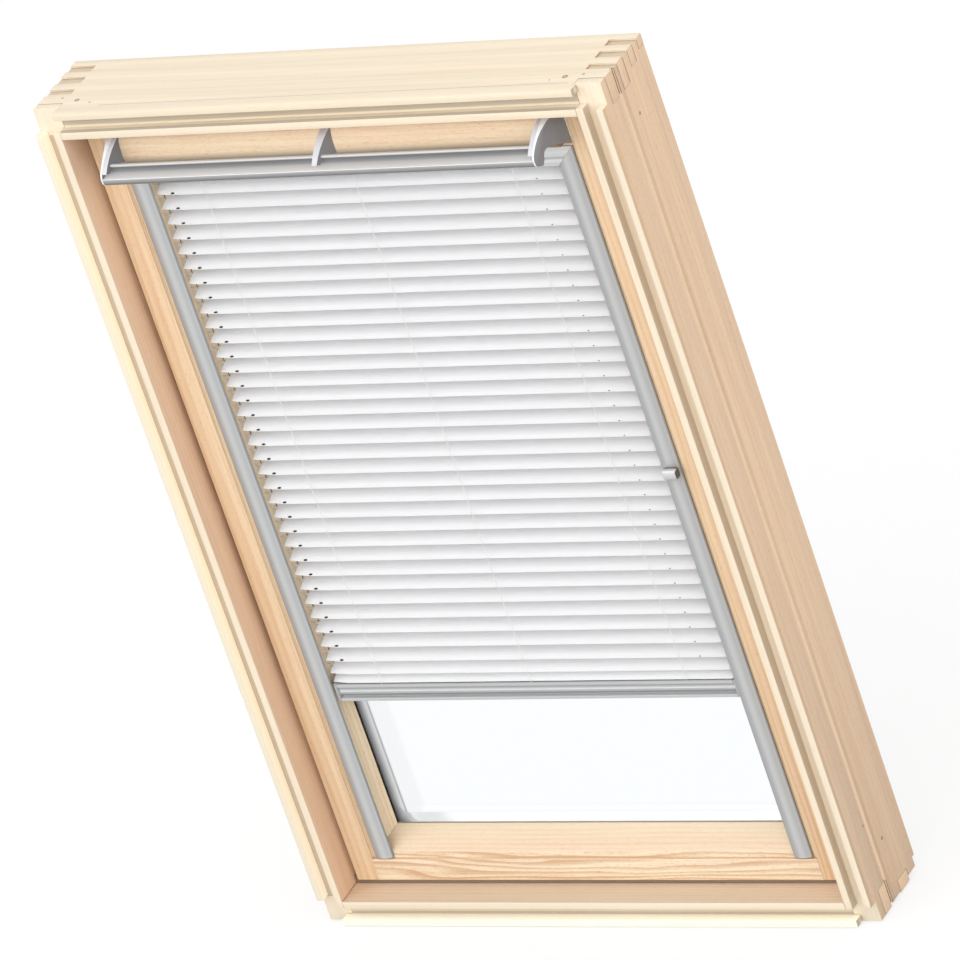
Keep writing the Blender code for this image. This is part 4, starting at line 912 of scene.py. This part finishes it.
# Painted shade and highlight: the face's grey rises and falls in bands over its ribs.
rail_face_shading = banded_finish("rail_face_shading", "Z", ((1.0564, 0.72), (1.0585, 0.70), (1.0610, 0.58), (1.0640, 0.66),
                                             (1.0690, 0.60), (1.0705, 0.58), (1.0745, 0.74), (1.0790, 0.62),
                                             (1.0825, 0.72)), 0.36, 0.15, tint=ALUMINIUM_TINT)
face = prism(FACE_SECTION, "X", -channel_outer, channel_outer)
for side in (-1, 1):
    mitre = Vector((-side * MITRE_NORMAL.x, 0.0, -MITRE_NORMAL.z))
    cut_away(face, (side * channel_inner, 0.0, rail_bottom), mitre)
place_piece(ease(face, METAL_EASE, 1, sharper_than=50.0), "head_rail_face", [rail_face_shading], "sash",
            ["blind_head_rail"])
lacquer = plain_finish("white_lacquer", (0.86, 0.87, 0.88), 0.35, speckle=0.02)
tray = cut_away(copied("blind_head_rail"), (0.0, FACE_BACK, 0.0), (0.0, -1.0, 0.0))
place_piece(ease(tray, TRAY_EASE), "head_rail_tray", [lacquer], "sash")

# Slats.
# Thin aluminium strips, stove-enamelled white and crowned. A tongue at each end runs in the channel,
# tinted cream as painted bounce light from the wood, and a small black mark raised on the front edge
# near it paints the shade of a notch there.
SLAT_FRONT, SLAT_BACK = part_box("slat_01")[0][1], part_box("slat_01")[1][1]
SLAT_HALF = 0.2825
SLAT_RISE = 0.0062
SLAT_CROWN = 0.0013
SLAT_SKIN = 0.00045
SLAT_LIFT = 0.0004
CORNER_WIDTH = 0.0240
CORNER_CUT = 0.0032
HIDDEN_CORNER = 0.0035
SLAT_PAINTED_GLOW = ((0.0268, 0.0), (0.0340, 0.01), (0.0400, 0.050), (0.0512, 0.060))
TONGUE, TONGUE_WIDTH, TONGUE_THICKNESS = 0.0080, 0.0048, 0.0009
TONGUE_BACKSET, TONGUE_HEIGHT = 0.0420, 0.0058
TONGUE_POINT, TONGUE_RISE = 0.4, 0.0020
NOTCH_MARK_HEIGHT, NOTCH_MARK_PLACE, NOTCH_MARK_TILT = 0.0010, 0.0013, 18.0
SLAT_NOTCH_MARKS = ((-0.2586, 0.0030, 0.0016), (0.2450, 0.0011, 0.0004))
slat_white = banded_finish("slat_white", "Y", ((0.0268, 0.95), (0.0320, 0.95), (0.0390, 0.93), (0.0440, 0.97),
                                               (0.0512, 1.0)), 0.42)
# Painted light: the white is lighter towards the slats' rear, and a painted glow lifts their rear
# halves, where the slat above shades them.
tree = slat_white.node_tree
glow = banded(tree, tree.nodes.new("ShaderNodeTexCoord").outputs["Object"], "Y", SLAT_PAINTED_GLOW)
tree.links.new(glow, tree.nodes["Principled BSDF"].inputs["Emission Color"])
tree.nodes["Principled BSDF"].inputs["Emission Strength"].default_value = 1.0
slat_white.cycles.emission_sampling = "NONE"
tongue_bounce_cream = plain_finish("tongue_bounce_cream", (0.93, 0.86, 0.80), 0.5, speckle=0.04)
notch_shade_black = plain_finish("notch_shade_black", (0.012, 0.012, 0.012), 0.5, speckle=0.3)


def slat_height(part):
    """Height of a slat over its front edge, from its front at 0 to its back at 1."""
    return 0.0005 + SLAT_RISE * part + SLAT_CROWN * math.sin(math.pi * part)


def slat_shape(with_notch_marks=True):
    """One slat with its front edge at height 0."""
    steps = [step / 9 for step in range(10)]
    depths = [SLAT_FRONT + (SLAT_BACK - SLAT_FRONT) * part for part in steps]
    top = [(depth, slat_height(part)) for depth, part in zip(depths, steps)]
    under = [(depth, height - SLAT_SKIN) for depth, height in top]
    shape = prism(top + under[::-1], "X", -SLAT_HALF, SLAT_HALF)
    for side, width in ((-1, CORNER_WIDTH), (1, HIDDEN_CORNER)):
        everything = shape.verts[:] + shape.edges[:] + shape.faces[:]
        bmesh.ops.bisect_plane(shape, geom=everything, plane_co=(side * (SLAT_HALF - width), 0.0, 0.0),
                               plane_no=(1.0, 0.0, 0.0))
    for corner in shape.verts:
        if abs(corner.co.x) > SLAT_HALF - 0.001:
            corner.co.y += CORNER_CUT * (SLAT_BACK - corner.co.y) / (SLAT_BACK - SLAT_FRONT)
    # The tongues' cream tint is painted bounce light from the wood.
    for side in (-1, 1):
        tongue = bmesh.ops.create_cube(shape, size=1.0)["verts"]
        bmesh.ops.scale(shape, verts=tongue, vec=(TONGUE + 0.0015, TONGUE_WIDTH, TONGUE_THICKNESS))
        bmesh.ops.translate(shape, verts=tongue,
                            vec=(side * (SLAT_HALF + TONGUE / 2 - 0.0008), TONGUE_BACKSET, TONGUE_HEIGHT))
        for corner in tongue:
            if abs(corner.co.x) > SLAT_HALF + 0.001:
                corner.co.y = TONGUE_BACKSET + (corner.co.y - TONGUE_BACKSET) * TONGUE_POINT
                corner.co.z += TONGUE_RISE
        for face in {face for corner in tongue for face in corner.link_faces}:
            face.material_index = 1
    # The black marks paint the shade of a notch in the front edge.
    for across, half_long, half_deep in SLAT_NOTCH_MARKS if with_notch_marks else ():
        stop = bmesh.ops.create_cone(shape, cap_ends=True, segments=10, radius1=1.0, radius2=0.8,
                                     depth=1.0)["verts"]
        bmesh.ops.scale(shape, verts=stop, vec=(half_long, half_deep, NOTCH_MARK_HEIGHT))
        bmesh.ops.rotate(shape, verts=stop, cent=(0.0, 0.0, 0.0),
                         matrix=Matrix.Rotation(math.radians(NOTCH_MARK_TILT), 3, "X"))
        bmesh.ops.translate(shape, verts=stop, vec=(across, SLAT_FRONT + half_deep + 0.0002, NOTCH_MARK_PLACE))
        for face in {face for corner in stop for face in corner.link_faces}:
            face.material_index = 2
    return shape


slat_nodes = sorted(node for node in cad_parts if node.startswith("slat_"))
for node in slat_nodes:
    slat = slat_shape()
    bmesh.ops.translate(slat, verts=slat.verts, vec=(0.0, 0.0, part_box(node)[0][2] + SLAT_LIFT))
    place_piece(slat, f"{node}_strip", [slat_white, tongue_bounce_cream, notch_shade_black], node, [node])

# Ladders.
# Braided white cord in front of and behind the slats, with a rung under each. A thin dark guide
# cord runs beside the slats' ends. On the real blind all of it gathers as the rail goes up; here the
# cords hang at full length on the sash.
CORD_HALF = 0.0003
LADDER_PLACES = {"ladder_left": -0.2115, "ladder_middle": 0.0, "ladder_right": 0.2170}
CORD_CLEARANCE = 0.0003
RUNG_SHARE = 0.7
GUIDE_DEPTH, GUIDE_HALF, GUIDE_GAP = 0.0446, 0.0005, 0.0008
cord_low, cord_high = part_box("ladder_left")[0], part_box("ladder_left")[1]
cord_white = plain_finish("ladder_cord", (0.88, 0.88, 0.88), 0.8, speckle=0.1, speckle_size=0.0008)
guide_black = plain_finish("guide_cord", (0.02, 0.02, 0.02), 0.7, speckle=0.2, speckle_size=0.0008)


def cord_between(shape, start, end, half):
    """A thin six-sided cord between two places, added to a mesh."""
    way = Vector(end) - Vector(start)
    cord = bmesh.ops.create_cone(shape, cap_ends=True, segments=6, radius1=half, radius2=half,
                                 depth=way.length)["verts"]
    bmesh.ops.rotate(shape, verts=cord, cent=(0.0, 0.0, 0.0), matrix=way.to_track_quat("Z", "Y").to_matrix())
    bmesh.ops.translate(shape, verts=cord, vec=(Vector(start) + Vector(end)) / 2)


for node, across in LADDER_PLACES.items():
    ladder = bmesh.new()
    front, back = SLAT_FRONT - CORD_HALF - CORD_CLEARANCE, SLAT_BACK + CORD_HALF + CORD_CLEARANCE
    for depth in (front, back):
        cord_between(ladder, (across, depth, cord_low[2]), (across, depth, cord_high[2]), CORD_HALF)
    for slat in slat_nodes:
        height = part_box(slat)[0][2] - CORD_CLEARANCE
        cord_between(ladder, (across, front, height), (across, back, height + SLAT_RISE),
                     CORD_HALF * RUNG_SHARE)
    piece = place_piece(ladder, f"{node}_cords", [cord_white], "sash", [node])
    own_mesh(piece)
for side, name in ((-1, "guide_cord_left"), (1, "guide_cord_right")):
    guide = bmesh.new()
    across = side * (SLAT_HALF + GUIDE_GAP)
    cord_between(guide, (across, GUIDE_DEPTH, cord_low[2]), (across, GUIDE_DEPTH, cord_high[2]), GUIDE_HALF)
    piece = place_piece(guide, name, [guide_black], "sash")
    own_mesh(piece)

# Bottom rail.
# An aluminium extrusion with two grooves along its face and a moulded cap at each end. The two
# lowest slats lie on it.
rail_low, rail_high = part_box("blind_bottom_rail")
RAIL_FRONT = rail_low[1]
RAIL_CAP, CAP_OVERLAP, CAP_EASE = 0.0040, 0.0003, 0.0007
RESTING_HEIGHTS = (0.3484, 0.3354)
foot, top = rail_low[2], rail_high[2]
RAIL_SECTION = ((RAIL_FRONT, top), (RAIL_FRONT, foot + 0.0196), (RAIL_FRONT + 0.0024, foot + 0.0188),
                (RAIL_FRONT + 0.0028, foot + 0.0134), (RAIL_FRONT + 0.0004, foot + 0.0122),
                (RAIL_FRONT + 0.0004, foot + 0.0106), (RAIL_FRONT + 0.0050, foot + 0.0098),
                (RAIL_FRONT + 0.0050, foot + 0.0050), (RAIL_FRONT + 0.0006, foot + 0.0040),
                (RAIL_FRONT + 0.0003, foot + 0.0006), (RAIL_FRONT + 0.0012, foot), (rail_high[1], foot),
                (rail_high[1], top))
rail_half = rail_high[0]
# Painted shade and highlight: the grey darkens in the grooves and at its top edge under the slats, and
# lightens on the ribs.
RAIL_SHADING_BANDS = ((0.3081, 0.60), (0.3100, 0.55), (0.3122, 0.62), (0.3138, 0.42), (0.3150, 0.31), (0.3190, 0.33),
              (0.3205, 0.45), (0.3215, 0.78), (0.3235, 0.68), (0.3250, 0.50), (0.3262, 0.38), (0.3280, 0.40),
              (0.3295, 0.56), (0.3310, 0.62), (0.3325, 0.55), (0.3336, 0.40))
profile_grey = banded_finish("profile_grey", "Z", RAIL_SHADING_BANDS, 0.36, 0.15, tint=ALUMINIUM_TINT)
rail = ease(prism(RAIL_SECTION, "X", -rail_half + RAIL_CAP, rail_half - RAIL_CAP), METAL_EASE, 1,
            sharper_than=50.0)
rail_edge = plain_finish("rail_edge", (0.46, 0.47, 0.47), 0.36, metallic=0.1, speckle=0.03)
place_piece(rail, "bottom_rail_profile", [profile_grey], "bottom_rail",
            ["blind_bottom_rail"])
for side, name in ((-1, "rail_cap_left"), (1, "rail_cap_right")):
    outline = ((RAIL_FRONT, top), (RAIL_FRONT, foot + 0.0010), (RAIL_FRONT + 0.0010, foot),
               (rail_high[1], foot), (rail_high[1], top))
    cap = prism(outline, "X", side * (rail_half - RAIL_CAP + CAP_OVERLAP), side * rail_half)
    place_piece(ease(cap, CAP_EASE), name, [rail_edge], "bottom_rail")
resting = bmesh.new()
for height in RESTING_HEIGHTS:
    slat = slat_shape(with_notch_marks=False)
    bmesh.ops.translate(slat, verts=slat.verts, vec=(0.0, 0.0, height))
    laid = bpy.data.meshes.new("laid_slat")
    slat.to_mesh(laid)
    slat.free()
    resting.from_mesh(laid)
place_piece(resting, "resting_slats", [slat_white, tongue_bounce_cream], "bottom_rail")

# Tilt slider.
# A moulded knob on the right channel. It runs in a slot and turns the tilt rod through a cord.
KNOB_EASE = 0.0012
knob_low, knob_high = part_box("tilt_slider")
knob_foot, knob_top = knob_low[2], knob_high[2]
# Painted shade: the knob's silver darkens towards its foot, and its top towards the back.
KNOB_SHADE_BANDS = ((knob_foot, 0.30), (knob_foot + 0.0010, 0.52), (knob_foot + 0.0035, 0.62),
              (knob_top - 0.0030, 0.76), (knob_top, 0.86))
knob_front, channel_face = knob_low[1], channel_low[1]
CREST_SHADE_BANDS = ((knob_front, 0.88), (knob_front + 0.0025, 0.66), (channel_face - 0.0056, 0.58),
               (channel_face - 0.0048, 0.16), (channel_face + 0.0030, 0.12))
knob = ease(copied("tilt_slider"), KNOB_EASE, 3)
stain(knob, lambda normal, middle: normal.x > 0.7)
stain(knob, lambda normal, middle: normal.z > 0.7, 2)
knob_silver = banded_finish("knob_silver", "Z", KNOB_SHADE_BANDS, 0.4, 0.1, tint=ALUMINIUM_TINT)
knob_dark = plain_finish("knob_dark", (0.11, 0.11, 0.11), 0.5, speckle=0.2)
knob_crest = banded_finish("knob_crest", "Y", CREST_SHADE_BANDS, 0.4, 0.1, tint=ALUMINIUM_TINT)
place_piece(knob, "tilt_slider_knob", [knob_silver, knob_dark, knob_crest], "tilt_slider",
            ["tilt_slider"])
